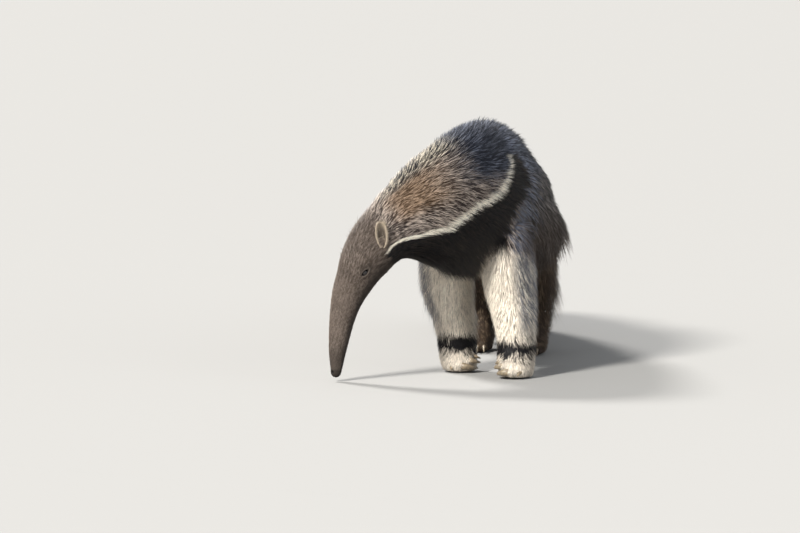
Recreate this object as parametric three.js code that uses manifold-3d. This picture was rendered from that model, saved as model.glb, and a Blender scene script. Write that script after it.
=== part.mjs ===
// Giant anteater, life size, standing with its neck turned to its right and its snout held to the ground.
// Millimetres. +X is the animal's left, -Y is forwards, +Z is up, and the feet stand on z = 0.
import * as THREE from "three";
import { mergeVertices } from "three/addons/utils/BufferGeometryUtils.js";
import Module from "manifold-3d";

const wasm = await Module();
wasm.setup();

// Driving dimensions
const touchingGap = 0.3; // left between two neighbouring pieces
const shortCoat = 20; // a coat up to this depth is part of the body's own surface
const coreShare = 0.45; // share of a deeper coat that the body's own surface takes in
const boxCentre = { x: -116, y: 574 }; // centre of the whole animal's box, seen from above

// Cross-sections of the spine from the muzzle to the tail's end. "at" is the middle of the section; "wide" is
// its half width, "up" and "down" its half heights, without the coat; "coat" is the depth of the hair on the
// back, on the side, on the lower flank and underneath.
const spineSections = [
  { name: "muzzle_end", at: [-346, -249, 22], wide: 13, up: 12, down: 13, coat: [1, 1, 1, 1] },
  { name: "muzzle", at: [-342, -248, 80], wide: 19, up: 20, down: 21, coat: [2, 2, 2, 2] },
  { name: "snout", at: [-329, -246, 165], wide: 25, up: 30, down: 30, coat: [3, 3, 3, 3] },
  { name: "snout_root", at: [-315, -243, 215], wide: 31, up: 38, down: 37, coat: [4, 4, 4, 4] },
  { name: "eyes", at: [-296, -240, 259], wide: 40, up: 46, down: 45, coat: [5, 5, 5, 5] },
  { name: "forehead", at: [-278, -237, 297], wide: 47, up: 54, down: 55, coat: [7, 6, 6, 6] },
  { name: "ears", at: [-254, -231, 335], wide: 52, up: 60, down: 62, coat: [12, 8, 8, 8] },
  { name: "nape", at: [-225, -220, 367], wide: 56, up: 64, down: 66, coat: [20, 10, 14, 26] },
  { name: "neck", at: [-188, -201, 393], wide: 63, up: 72, down: 76, coat: [28, 13, 22, 38] },
  { name: "neck_middle", at: [-124, -155, 425], wide: 82, up: 98, down: 106, coat: [42, 16, 30, 52] },
  { name: "neck_base", at: [-74, -84, 438], wide: 100, up: 122, down: 126, coat: [56, 18, 36, 54] },
  { name: "shoulders", at: [-40, 5, 443], wide: 112, up: 130, down: 142, coat: [64, 20, 32, 44] },
  { name: "ribs", at: [-28, 130, 440], wide: 114, up: 120, down: 134, coat: [66, 22, 50, 52] },
  { name: "loin", at: [-32, 300, 428], wide: 106, up: 104, down: 122, coat: [64, 26, 80, 62] },
  { name: "hips", at: [-50, 470, 408], wide: 97, up: 88, down: 110, coat: [62, 34, 98, 70] },
  { name: "rump", at: [-62, 590, 384], wide: 78, up: 68, down: 86, coat: [62, 44, 96, 100] },
  { name: "tail_root", at: [-76, 685, 364], wide: 46, up: 44, down: 48, coat: [70, 50, 78, 150] },
  { name: "tail_front", at: [-95, 800, 342], wide: 34, up: 34, down: 34, coat: [80, 56, 78, 225] },
  { name: "tail_middle", at: [-130, 940, 312], wide: 28, up: 28, down: 28, coat: [86, 58, 84, 262] },
  { name: "tail_back", at: [-180, 1085, 278], wide: 23, up: 23, down: 23, coat: [84, 58, 80, 236] },
  { name: "tail_tip", at: [-236, 1220, 246], wide: 17, up: 17, down: 17, coat: [76, 52, 72, 198] },
  { name: "hair_middle", at: [-278, 1310, 222], wide: 9, up: 9, down: 9, coat: [66, 44, 62, 160] },
  { name: "hair_end", at: [-338, 1440, 178], wide: 3, up: 3, down: 3, coat: [20, 14, 24, 40] },
];

// Heights of a leg from its sole to inside the body. "across" and "along" are half sizes from side to side and
// from front to back, without the coat; "coat" is the hair's depth and "rear" its depth behind the leg.
const foreLegSections = [
  { z: 0, across: 34, along: 44, ahead: 10, coat: 1, rear: 1 },
  { z: 9, across: 40, along: 51, ahead: 10, coat: 2, rear: 2 },
  { z: 34, across: 43, along: 52, ahead: 8, coat: 4, rear: 4 },
  { z: 62, across: 41, along: 45, ahead: 2, coat: 7, rear: 10 },
  { z: 95, across: 39, along: 42, ahead: 0, coat: 11, rear: 24 },
  { z: 150, across: 43, along: 50, ahead: 0, coat: 13, rear: 34 },
  { z: 222, across: 51, along: 62, ahead: 0, coat: 15, rear: 40 },
  { z: 285, across: 56, along: 74, ahead: 0, coat: 16, rear: 36 },
  { z: 350, across: 54, along: 80, ahead: 0, coat: 16, rear: 20 },
  { z: 410, across: 46, along: 66, ahead: 0, coat: 10, rear: 10 },
];
const hindLegSections = [
  { z: 0, across: 34, along: 70, ahead: 28, coat: 1, rear: 1 },
  { z: 9, across: 40, along: 77, ahead: 28, coat: 2, rear: 2 },
  { z: 30, across: 40, along: 70, ahead: 20, coat: 6, rear: 6 },
  { z: 55, across: 37, along: 50, ahead: 4, coat: 10, rear: 14 },
  { z: 85, across: 36, along: 42, ahead: -8, coat: 14, rear: 26 },
  { z: 130, across: 39, along: 46, ahead: -10, coat: 16, rear: 40 },
  { z: 190, across: 47, along: 60, ahead: 4, coat: 18, rear: 56 },
  { z: 250, across: 55, along: 78, ahead: 14, coat: 20, rear: 60 },
  { z: 320, across: 60, along: 92, ahead: 6, coat: 20, rear: 40 },
  { z: 390, across: 50, along: 80, ahead: 0, coat: 14, rear: 14 },
];
const ankleHeight = 74; // where a foot ends and its leg begins
// Each leg's axis, as places it passes at rising heights; its outer side; the share of its coat it has inside
const foreHeights = [0, 135, 222, 410];
const hindHeights = [0, 130, 250, 390];
const legs = {
  foreleg_left: { x: [80, 68, 50, 30], y: [-72, -45, -20, 5], outer: 1, inner: 0.8 },
  foreleg_right: { x: [-84, -102, -117, -104], y: [62, 50, 34, 12], outer: -1, inner: 0.8 },
  hindleg_left: { x: [14, 10, 8, 2], y: [548, 560, 520, 500], outer: 1, inner: 0.2 },
  hindleg_right: { x: [-134, -130, -124, -112], y: [615, 610, 550, 505], outer: -1, inner: 0.2 },
};

// Locks of the long coat on the spine: the lengths of the body they grow on, how far apart along it, the turns
// round the body in degrees, and each lock's width, thickness and lie. "lie" is how far the tip lies behind the
// root as a share of the hair's depth, and "sweep" how many degrees further round, downwards.
// "upright" locks stand in the animal's middle plane, and the others lie flat on the body.
const trunkLengths = ["chest", "trunk", "rump"];
const tailLengths = ["tail_base", "tail_half", "tail_end"];
const backLengths = ["neck", ...trunkLengths];
const coatRows = [
  { on: backLengths, every: 64, turns: [90], width: 52, thick: 26, lie: 1.3, sweep: 0, upright: true },
  { on: trunkLengths, every: 104, turns: [62, 118], width: 62, thick: 15, lie: 1.3, sweep: 8 },
  { on: ["neck"], every: 100, turns: [-74, 254], width: 62, thick: 15, lie: 0.9, sweep: 0 },
  { on: ["trunk", "rump"], every: 96, turns: [-8, 188], width: 70, thick: 16, lie: 0.9, sweep: 16 },
  { on: ["trunk"], every: 96, turns: [-44, 224], width: 74, thick: 15, lie: 0.8, sweep: 10 },
  { on: tailLengths, every: 78, turns: [90], width: 58, thick: 26, lie: 1.3, sweep: 0, upright: true },
  { on: tailLengths, every: 128, turns: [38, 142], width: 74, thick: 15, lie: 1.3, sweep: 16 },
  { on: tailLengths, every: 128, turns: [-12, 192], width: 78, thick: 16, lie: 0.9, sweep: 22 },
  { on: tailLengths, every: 112, turns: [-60, 240], width: 82, thick: 16, lie: 0.6, sweep: 8 },
  { on: tailLengths, every: 68, turns: [-90], width: 66, thick: 26, lie: 0.5, sweep: 0, upright: true },
];
// Locks behind the legs: heights of their roots, how far they hang, and their size
const legRows = {
  fore: { heights: [140, 196, 250], drop: 56, width: 62, thick: 15 },
  hind: { heights: [130, 186, 240], drop: 64, width: 66, thick: 15 },
};
const lockRootSunk = 9;
const rearLockTurn = 8; // degrees to one side or the other of a leg's rear

const colours = {
  head: 0x6b6058,
  neck: 0x5d5249,
  body: 0x3c3836,
  tail: 0x40352e,
  foreLeg: 0xd9cfc0,
  hindLeg: 0x33291f,
  ear: 0xb5a892,
  eye: 0x15100c,
  claw: 0x8d8272,
};

const radians = THREE.MathUtils.degToRad;

// Smooth curve through values that belong to rising positions, with the slope at each taken from its neighbours
function smooth(positions, values, at) {
  const last = positions.length - 1;
  const clamped = Math.min(Math.max(at, positions[0]), positions[last]);
  let i = 0;
  while (i < last - 1 && clamped > positions[i + 1]) i += 1;
  const slope = (k) => {
    const a = Math.max(k - 1, 0);
    const b = Math.min(k + 1, last);
    return (values[b] - values[a]) / (positions[b] - positions[a]);
  };
  const span = positions[i + 1] - positions[i];
  const t = (clamped - positions[i]) / span;
  const t2 = t * t;
  const t3 = t2 * t;
  return (
    values[i] * (2 * t3 - 3 * t2 + 1) +
    slope(i) * span * (t3 - 2 * t2 + t) +
    values[i + 1] * (3 * t2 - 2 * t3) +
    slope(i + 1) * span * (t3 - t2)
  );
}

// Distance along the spine of each section, from the muzzle's end
const spineAt = [0];
for (let i = 1; i < spineSections.length; i += 1) {
  const before = new THREE.Vector3(...spineSections[i - 1].at);
  spineAt.push(spineAt[i - 1] + before.distanceTo(new THREE.Vector3(...spineSections[i].at)));
}
const placeOf = (name) => spineAt[spineSections.findIndex((section) => section.name === name)];
const spineValue = (s, pick) => smooth(spineAt, spineSections.map(pick), s);
const spinePoint = (s) => new THREE.Vector3(...[0, 1, 2].map((axis) => spineValue(s, (o) => o.at[axis])));

// The spine's frame at a distance: middle, direction towards the tail, up the back, and to the animal's left
function spineFrame(s) {
  const step = 2;
  const middle = spinePoint(s);
  const tailwards = spinePoint(s + step).sub(spinePoint(s - step)).normalize();
  const back = new THREE.Vector3(0, 0, 1).addScaledVector(tailwards, -tailwards.z).normalize();
  const left = new THREE.Vector3().crossVectors(tailwards, back).normalize();
  return { middle, tailwards, back, left };
}

// Depth of the coat round a section, by the rise of the turn: -90 degrees is underneath and 90 the back
function coatDepth(s, turn) {
  const [back, side, flank, below] = [0, 1, 2, 3].map((k) => spineValue(s, (o) => o.coat[k]));
  const rise = THREE.MathUtils.radToDeg(Math.asin(Math.sin(turn)));
  return smooth([-90, -28, 4, 46, 90], [below, flank, side, side, back], rise);
}

// How far hair of some depth carries the surface out
const hairOut = (depth, reach) => Math.min(depth, Math.max(shortCoat, depth * reach));

// A point of the body's surface at a distance along the spine and a turn from the left side over the back
function bodyPoint(s, turn, reach = coreShare, grow = 0) {
  const { middle, back, left } = spineFrame(s);
  const wide = spineValue(s, (o) => o.wide);
  const tall = spineValue(s, (o) => (Math.sin(turn) > 0 ? o.up : o.down));
  const across = Math.cos(turn);
  const rise = Math.sin(turn);
  const outwards = new THREE.Vector2(across / wide, rise / tall).normalize();
  const out = hairOut(coatDepth(s, turn), reach) + grow;
  return middle
    .addScaledVector(left, wide * across + outwards.x * out)
    .addScaledVector(back, tall * rise + outwards.y * out);
}

// A point of a leg's surface at a height and a turn from the animal's left round the back of the leg
function legPoint(leg, z, turn, reach = coreShare, grow = 0) {
  const heights = leg.sections.map((o) => o.z);
  const value = (pick) => smooth(heights, leg.sections.map(pick), z);
  const coat = value((o) => o.coat);
  const side = Math.cos(turn) * leg.outer > 0 ? coat : coat * leg.inner;
  const end = Math.sin(turn) > 0 ? value((o) => o.rear) : coat;
  const across = value((o) => o.across) + hairOut(side, reach) + grow;
  const along = value((o) => o.along) + hairOut(end, reach) + grow;
  const x = smooth(leg.z, leg.x, z);
  const y = smooth(leg.z, leg.y, z) - value((o) => o.ahead);
  return new THREE.Vector3(x + across * Math.cos(turn), y + along * Math.sin(turn), z);
}

const roundTurns = (sides) => Array.from({ length: sides }, (_, k) => (2 * Math.PI * k) / sides);

// A closed mesh from rings of points, with its ends closed on their middle, or the last one on a point
function loft(rings, point = null) {
  const sides = rings[0].length;
  const points = rings.flat();
  const faces = [];
  for (let r = 0; r < rings.length - 1; r += 1) {
    for (let k = 0; k < sides; k += 1) {
      const a = r * sides + k;
      const b = r * sides + ((k + 1) % sides);
      faces.push(a, b, b + sides, a, b + sides, a + sides);
    }
  }
  for (const first of [0, (rings.length - 1) * sides]) {
    const middle = new THREE.Vector3();
    for (let k = 0; k < sides; k += 1) middle.addScaledVector(points[first + k], 1 / sides);
    points.push(first > 0 && point ? point : middle);
    for (let k = 0; k < sides; k += 1) {
      const a = first + k;
      const b = first + ((k + 1) % sides);
      faces.push(...(first === 0 ? [b, a, points.length - 1] : [a, b, points.length - 1]));
    }
  }
  const geometry = new THREE.BufferGeometry().setFromPoints(points);
  geometry.setIndex(faces);
  return geometry;
}

// three.js geometry to a solid that can be joined and cut, and back
function toSolid(geometry) {
  const bare = geometry.index ? geometry.toNonIndexed() : geometry.clone();
  bare.deleteAttribute("normal");
  bare.deleteAttribute("uv");
  const merged = mergeVertices(bare, 1e-4);
  const vertProperties = merged.attributes.position.array;
  const triVerts = new Uint32Array(merged.index.array);
  const solid = new wasm.Manifold(new wasm.Mesh({ numProp: 3, vertProperties, triVerts }));
  if (solid.volume() > 0) return solid;
  triVerts.reverse();
  return new wasm.Manifold(new wasm.Mesh({ numProp: 3, vertProperties, triVerts }));
}
function toGeometry(solid) {
  const mesh = solid.getMesh();
  const geometry = new THREE.BufferGeometry();
  geometry.setAttribute("position", new THREE.BufferAttribute(new Float32Array(mesh.vertProperties), 3));
  geometry.setIndex(new THREE.BufferAttribute(new Uint32Array(mesh.triVerts), 1));
  geometry.computeVertexNormals();
  return geometry;
}
const joined = (solids) => solids.reduce((sum, solid) => sum.add(solid));
const cutBy = (solid, tools) => tools.reduce((rest, tool) => rest.subtract(tool), solid);
const largestOf = (solid) => solid.decompose().reduce((a, b) => (b.volume() > a.volume() ? b : a));

const anteater = new THREE.Group();
anteater.position.set(-boxCentre.x, -boxCentre.y, 0);

function addNode(name, solid, colour, roughness = 0.9) {
  const material = new THREE.MeshStandardMaterial({ color: colour, roughness, metalness: 0 });
  const mesh = new THREE.Mesh(toGeometry(largestOf(solid)), material);
  mesh.name = name;
  anteater.add(mesh);
}

// An ellipsoid with its own axes: half sizes along three directions, the third one being its front
function ellipsoid(centre, directions, halves, detail) {
  const geometry = new THREE.SphereGeometry(1, detail, Math.round(detail * 0.6));
  const matrix = new THREE.Matrix4().makeBasis(
    ...directions.map((direction, k) => direction.clone().multiplyScalar(halves[k])),
  );
  return toSolid(geometry.applyMatrix4(matrix.setPosition(centre)));
}

// Three directions at right angles: the first kept, the third as near as can be to the one given
function threeDirections(first, towards) {
  const a = first.clone().normalize();
  const c = towards.clone().addScaledVector(a, -towards.dot(a)).normalize();
  return [a, new THREE.Vector3().crossVectors(c, a).normalize(), c];
}

// A length of the body between two distances along the spine, its rings about "step" apart
function bodyLength(from, to, { sides, step }, grow = 0) {
  const count = Math.max(2, Math.round((to - from) / step));
  const rings = [];
  for (let r = 0; r <= count; r += 1) {
    const beyond = r === 0 ? -grow : r === count ? grow : 0;
    const s = from + ((to - from) * r) / count + beyond;
    rings.push(roundTurns(sides).map((turn) => bodyPoint(s, turn, coreShare, grow)));
  }
  return toSolid(loft(rings));
}

// The muzzle's rounded end: rings that close in ahead of the first section
function muzzleEnd(sides) {
  const length = 12;
  const { middle, tailwards } = spineFrame(0);
  const rings = [20, 45, 70].map((angle) => {
    const share = Math.sin(radians(angle));
    const ahead = length * Math.cos(radians(angle));
    return roundTurns(sides).map((turn) =>
      bodyPoint(0, turn).sub(middle).multiplyScalar(share).add(middle).addScaledVector(tailwards, -ahead),
    );
  });
  rings.push(roundTurns(sides).map((turn) => bodyPoint(0, turn)));
  rings.push(roundTurns(sides).map((turn) => bodyPoint(4, turn)));
  return toSolid(loft(rings));
}

// Horizontal rings up a leg
function legLength(leg, from, to, step, grow = 0) {
  const count = Math.max(2, Math.round((to - from) / step));
  const levels = Array.from({ length: count + 1 }, (_, r) => from + ((to - from) * r) / count);
  if (from === 0) levels.splice(1, 0, leg.sections[1].z);
  const rings = levels.map((z) => roundTurns(14).map((turn) => legPoint(leg, z, turn, coreShare, grow)));
  return toSolid(loft(rings));
}

// A claw: a tapering tube along a curve, a little deeper than wide
function claw(points, width, detail = 5) {
  const curve = new THREE.QuadraticBezierCurve3(...points);
  const steps = 4;
  const rings = [];
  for (let r = 0; r <= steps; r += 1) {
    const t = r / steps;
    const along = curve.getTangent(t);
    const across = new THREE.Vector3().crossVectors(along, new THREE.Vector3(0, 0, 1)).normalize();
    const deep = new THREE.Vector3().crossVectors(across, along).normalize();
    const size = (width / 2) * (1 - t) ** 0.7 + 0.6;
    rings.push(
      roundTurns(detail).map((turn) =>
        curve
          .getPoint(t)
          .addScaledVector(across, size * Math.cos(turn))
          .addScaledVector(deep, size * 1.25 * Math.sin(turn)),
      ),
    );
  }
  return toSolid(loft(rings));
}

// The same numbers in the same order for every run
function seeded(seed) {
  let state = seed;
  return () => {
    state = (state * 1664525 + 1013904223) % 4294967296;
    return state / 4294967296;
  };
}

// A lock: a flat blade along a bending curve, widest a third of the way and pointed at its end
function lock(root, bend, tip, face, width, thick) {
  const curve = new THREE.QuadraticBezierCurve3(root, bend, tip);
  const shares = [
    [0, 0.76],
    [0.36, 1],
    [0.72, 0.66],
  ];
  const rings = shares.map(([t, share]) => {
    const along = curve.getTangent(t);
    const across = new THREE.Vector3().crossVectors(along, face).normalize();
    const out = new THREE.Vector3().crossVectors(across, along).normalize();
    const half = (width / 2) * share;
    const deep = (thick / 2) * share;
    return [across, out, across, out].map((direction, k) =>
      curve.getPoint(t).addScaledVector(direction, (k < 2 ? 1 : -1) * (k % 2 === 0 ? half : deep)),
    );
  });
  return toSolid(loft(rings, tip));
}

// Lengths of the body, from the snout backwards
const bodyLengths = [
  { name: "head", from: "muzzle_end", to: "nape", sides: 20, step: 19, colour: colours.head },
  { name: "neck", from: "nape", to: "neck_base", sides: 20, step: 32, colour: colours.neck },
  { name: "chest", from: "neck_base", to: "ribs", sides: 20, step: 38, colour: colours.body },
  { name: "trunk", from: "ribs", to: "hips", sides: 20, step: 48, colour: colours.body },
  { name: "rump", from: "hips", to: "tail_root", sides: 20, step: 42, colour: colours.body },
  { name: "tail_base", from: "tail_root", to: "tail_middle", sides: 16, step: 52, colour: colours.tail },
  { name: "tail_half", from: "tail_middle", to: "tail_tip", sides: 16, step: 52, colour: colours.tail },
  { name: "tail_end", from: "tail_tip", to: "hair_end", sides: 16, step: 52, colour: colours.tail },
];
const body = {};
const bodyGrown = {};
for (const length of bodyLengths) {
  const from = placeOf(length.from) + (length.from === "muzzle_end" ? 0 : touchingGap / 2);
  const to = placeOf(length.to) - touchingGap / 2;
  body[length.name] = bodyLength(from, to, length);
  bodyGrown[length.name] = bodyLength(from, to, length, touchingGap);
}
body.head = body.head.add(muzzleEnd(20));

// Locks of each length, and the same locks a touching gap larger all round
const random = seeded(11);
const locks = {};
const locksGrown = {};
for (const row of coatRows) {
  row.turns.forEach((turnDegrees, column) => {
    for (const name of row.on) {
      const length = bodyLengths.find((one) => one.name === name);
      const from = placeOf(length.from);
      const to = placeOf(length.to);
      const count = Math.max(1, Math.round((to - from) / row.every));
      for (let k = 0; k < count; k += 1) {
        const s = from + ((to - from) * (k + 0.35 + 0.3 * (column % 2))) / count + 6 * (random() - 0.5);
        const turn = radians(turnDegrees + 5 * (random() - 0.5));
        const depth = coatDepth(s, turn);
        const away = Math.sign(Math.cos(turn)) * -radians(row.sweep);
        const tipAt = Math.min(s + depth * row.lie, spineAt.at(-1));
        const out = bodyPoint(s, turn).sub(spinePoint(s)).normalize();
        const root = bodyPoint(s, turn).addScaledVector(out, -lockRootSunk);
        const face = row.upright ? spineFrame(s).left : out;
        const bend = bodyPoint(s + (tipAt - s) * 0.45, turn + away * 0.4, 0.88);
        const tip = bodyPoint(tipAt, turn + away, 1);
        const width = row.width * (0.9 + 0.2 * random());
        (locks[name] ??= []).push(lock(root, bend, tip, face, width, row.thick));
        const wider = width + 2 * touchingGap;
        (locksGrown[name] ??= []).push(lock(root, bend, tip, face, wider, row.thick + 2.4 * touchingGap));
      }
    }
  });
}

// Eyes with their lids, at the same place on both sides of the head
const eye = { s: placeOf("eyes") + 24, turn: -15, radius: 8, sunk: 5.5, tilt: 30 };
const lid = { radius: 8.6, thick: 2.9, along: 1.12, across: 0.72 };
const ear = { s: placeOf("ears") + 14, turn: -3, height: 74, width: 31, depth: 16 };
const nostril = { s: 3, turn: 48, half: [2.2, 3.4, 4] };
const mouth = { s: 4, turn: -52, half: [13, 1.1, 5] };

for (const side of [1, -1]) {
  const sideName = side > 0 ? "left" : "right";
  const turnOf = (degrees) => (side > 0 ? radians(degrees) : Math.PI - radians(degrees));
  const outwardsAt = (s, turn) => bodyPoint(s, turn).sub(spinePoint(s)).normalize();

  const eyeOut = outwardsAt(eye.s, turnOf(eye.turn));
  const eyeCentre = bodyPoint(eye.s, turnOf(eye.turn)).addScaledVector(eyeOut, -eye.sunk);
  const { tailwards, back } = spineFrame(eye.s);
  const tilted = tailwards.clone().multiplyScalar(Math.cos(radians(eye.tilt)));
  const [slitAlong, slitAcross, slitOut] = threeDirections(
    tilted.addScaledVector(back, Math.sin(radians(eye.tilt)) * 0.6),
    eyeOut,
  );
  const ring = new THREE.TorusGeometry(lid.radius, lid.thick, 6, 14);
  const ringAlong = slitAlong.clone().multiplyScalar(lid.along);
  const ringAcross = slitAcross.clone().multiplyScalar(lid.across);
  const ringCentre = eyeCentre.clone().addScaledVector(slitOut, eye.sunk - 0.2);
  ring.applyMatrix4(new THREE.Matrix4().makeBasis(ringAlong, ringAcross, slitOut).setPosition(ringCentre));
  const ballHalves = [eye.radius, eye.radius, eye.radius + 0.5];
  const ball = ellipsoid(eyeCentre, [slitAlong, slitAcross, slitOut], ballHalves, 10);
  const socketHalves = ballHalves.map((half) => half + touchingGap);
  const socket = ellipsoid(eyeCentre, [slitAlong, slitAcross, slitOut], socketHalves, 10);
  body.head = body.head.add(toSolid(ring)).subtract(socket);
  addNode(`eye_${sideName}`, ball, colours.eye, 0.15);

  // Nostril and the short mouth line at the muzzle's end
  const nostrilAt = bodyPoint(nostril.s, turnOf(nostril.turn));
  const nostrilOut = outwardsAt(nostril.s, turnOf(nostril.turn));
  const pit = ellipsoid(nostrilAt, threeDirections(spineFrame(0).tailwards, nostrilOut), nostril.half, 6);
  const mouthAt = bodyPoint(mouth.s, turnOf(mouth.turn));
  const mouthOut = outwardsAt(mouth.s, turnOf(mouth.turn));
  const line = ellipsoid(mouthAt, threeDirections(spineFrame(0).tailwards, mouthOut), mouth.half, 7);
  body.head = body.head.subtract(pit).subtract(line);

  // Ear: a cup leaning back and out from the side of the head, its hollow facing forwards and outwards
  const earFrame = spineFrame(ear.s);
  const earOut = outwardsAt(ear.s, turnOf(ear.turn));
  const earUp = earFrame.back.clone().multiplyScalar(0.72);
  earUp.addScaledVector(earFrame.tailwards, 0.62).addScaledVector(earOut, 0.26);
  const earFace = earOut.clone().addScaledVector(earFrame.tailwards, -0.45);
  const earDirections = threeDirections(earUp, earFace);
  const earRoot = bodyPoint(ear.s, turnOf(ear.turn));
  const earCentre = earRoot.clone().addScaledVector(earDirections[0], ear.height * 0.44);
  const shell = ellipsoid(earCentre, earDirections, [ear.height / 2, ear.width / 2, ear.depth / 2], 12);
  const hollowAt = earCentre.clone().addScaledVector(earDirections[2], ear.depth * 0.36);
  hollowAt.addScaledVector(earDirections[0], 1);
  const hollow = ellipsoid(hollowAt, earDirections, [ear.height / 2 - 5, ear.width / 2 - 4, ear.depth / 2], 12);
  const earBody = shell.subtract(hollow);
  addNode(`ear_${sideName}`, cutBy(earBody, [bodyGrown.head, bodyGrown.neck]), colours.ear);
}

// Each length keeps its locks where they clear the other lengths and the locks of those before it
const taken = [];
for (const { name, colour } of bodyLengths) {
  const others = Object.keys(body).filter((other) => other !== name);
  if (locks[name]) {
    const ownLocks = cutBy(joined(locks[name]), [...others.map((other) => bodyGrown[other]), ...taken]);
    addNode(name, body[name].add(ownLocks), colour);
    taken.push(joined(locksGrown[name]));
  } else {
    addNode(name, body[name], colour);
  }
}

// Legs, feet, toes and claws
// Toes of a forefoot from the inner one outwards: place across and ahead of the foot's middle, height, and the
// claw's length, width and the share of it that curls inwards and back
const foreToes = [
  { across: 33, ahead: 26, z: 42, length: 34, width: 8, curl: 1 },
  { across: 24, ahead: 44, z: 33, length: 52, width: 13, curl: 1 },
  { across: 4, ahead: 55, z: 19, length: 76, width: 16, curl: 1 },
  { across: -18, ahead: 50, z: 17, length: 30, width: 9, curl: 0.35 },
];
// Toes of a hindfoot, from the inner or outer side across it, as shares of the row's half width
const hindToes = [0.72, 0.38, 0.02, -0.34, -0.68];
const hindToeRow = { across: 42, ahead: 94, arch: 18, z: 17, halves: [9, 15, 14], clawWidth: 8 };
const foreToeThick = 12;

for (const [name, leg] of Object.entries(legs)) {
  const fore = name.startsWith("fore");
  leg.sections = fore ? foreLegSections : hindLegSections;
  leg.z = fore ? foreHeights : hindHeights;
  const top = leg.sections.at(-1).z;
  const colour = fore ? colours.foreLeg : colours.hindLeg;
  const row = fore ? legRows.fore : legRows.hind;
  const legLocks = row.heights.map((height, k) => {
    const turn = radians(90 + (k % 2 === 0 ? -rearLockTurn : rearLockTurn));
    const root = legPoint(leg, height, turn);
    const middle = new THREE.Vector3(smooth(leg.z, leg.x, height), smooth(leg.z, leg.y, height), height);
    const out = root.clone().sub(middle).normalize();
    root.addScaledVector(out, -lockRootSunk);
    const bend = legPoint(leg, height - row.drop * 0.4, turn, 0.9);
    const tip = legPoint(leg, height - row.drop, turn, 1);
    return lock(root, bend, tip, out, row.width * (0.9 + 0.2 * random()), row.thick);
  });
  const upper = joined([legLength(leg, ankleHeight + touchingGap / 2, top, 40), ...legLocks]);
  const lowerEnd = upper.trimByPlane([0, 0, 1], ankleHeight + touchingGap / 2);
  addNode(name, cutBy(lowerEnd, [...Object.values(bodyGrown), ...taken]), colour);

  const inwards = -leg.outer;
  const footTop = ankleHeight - touchingGap / 2;
  const x = leg.x[0];
  const y = leg.y[0];
  const side = name.split("_")[1];
  const toeSolids = [];
  const toeGrown = [];
  const claws = [];
  const axes = [new THREE.Vector3(1, 0, 0), new THREE.Vector3(0, 1, 0), new THREE.Vector3(0, 0, 1)];
  const addToe = (centre, halves) => {
    toeSolids.push(ellipsoid(centre, axes, halves, 8));
    toeGrown.push(ellipsoid(centre, axes, halves.map((half) => half + touchingGap), 8));
  };
  if (fore) {
    for (const toe of foreToes) {
      const root = new THREE.Vector3(x + inwards * toe.across, y - toe.ahead, toe.z);
      addToe(root, [toe.width * 0.85, toe.width * 1.1, foreToeThick]);
      const inwardsBy = (share) => inwards * toe.length * share * toe.curl;
      const forwards = -toe.length * (0.3 + 0.6 * (1 - toe.curl));
      const bend = new THREE.Vector3(inwardsBy(0.46), forwards, -2).add(root);
      const tip = new THREE.Vector3(inwardsBy(0.56), forwards + toe.length * 0.8 * toe.curl, -9).add(root);
      claws.push(claw([root, bend, tip], toe.width));
    }
  } else {
    for (const across of hindToes) {
      const ahead = hindToeRow.ahead - Math.abs(across) * hindToeRow.arch;
      const root = new THREE.Vector3(x + across * hindToeRow.across, y - ahead, hindToeRow.z);
      addToe(root, hindToeRow.halves);
      const bend = root.clone().add(new THREE.Vector3(across * 4, -26, 3));
      const tip = root.clone().add(new THREE.Vector3(across * 8, -38, -13));
      claws.push(claw([root, bend, tip], hindToeRow.clawWidth));
    }
  }
  const floorBox = toSolid(new THREE.BoxGeometry(2000, 4000, 100).translate(0, 0, -50));
  const foot = cutBy(joined([legLength(leg, 0, footTop, 19), ...toeSolids]), [floorBox]);
  const footGrown = joined([legLength(leg, 0, footTop, 19, touchingGap), ...toeGrown]);
  addNode(name.replace("leg", "foot"), foot, colour);
  claws.forEach((solid, k) => {
    addNode(`${fore ? "fore" : "hind"}claw_${side}_${k + 1}`, solid.subtract(footGrown), colours.claw, 0.5);
  });
}

export default anteater;
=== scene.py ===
"""Giant anteater: skin, coat, eyes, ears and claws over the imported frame, with a plain stage."""

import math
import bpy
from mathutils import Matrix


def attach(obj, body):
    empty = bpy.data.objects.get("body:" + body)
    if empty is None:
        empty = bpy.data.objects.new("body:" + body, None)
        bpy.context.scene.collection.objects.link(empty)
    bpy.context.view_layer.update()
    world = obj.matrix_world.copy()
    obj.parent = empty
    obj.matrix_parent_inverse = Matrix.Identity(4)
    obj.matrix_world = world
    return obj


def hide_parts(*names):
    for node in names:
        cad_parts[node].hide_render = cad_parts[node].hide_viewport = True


bl_info = {
    "name": "Giant anteater",
    "version": (1, 0, 0),
    "blender": (4, 5, 0),
    "location": "View3D > Sidebar > Anteater",
    "description": "Dresses the packed giant anteater with its skin, coat, eyes, ears and claws",
    "category": "Add Mesh",
}

import bpy
import numpy as np
from bpy.props import FloatProperty, FloatVectorProperty, IntProperty, PointerProperty
from mathutils.kdtree import KDTree

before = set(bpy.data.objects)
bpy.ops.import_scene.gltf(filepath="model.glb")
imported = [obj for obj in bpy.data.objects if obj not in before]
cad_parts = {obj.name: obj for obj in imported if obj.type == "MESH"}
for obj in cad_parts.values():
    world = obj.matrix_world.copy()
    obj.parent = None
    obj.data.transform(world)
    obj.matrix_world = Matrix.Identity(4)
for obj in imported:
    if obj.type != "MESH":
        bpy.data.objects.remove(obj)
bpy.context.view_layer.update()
BODY = "root"

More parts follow.
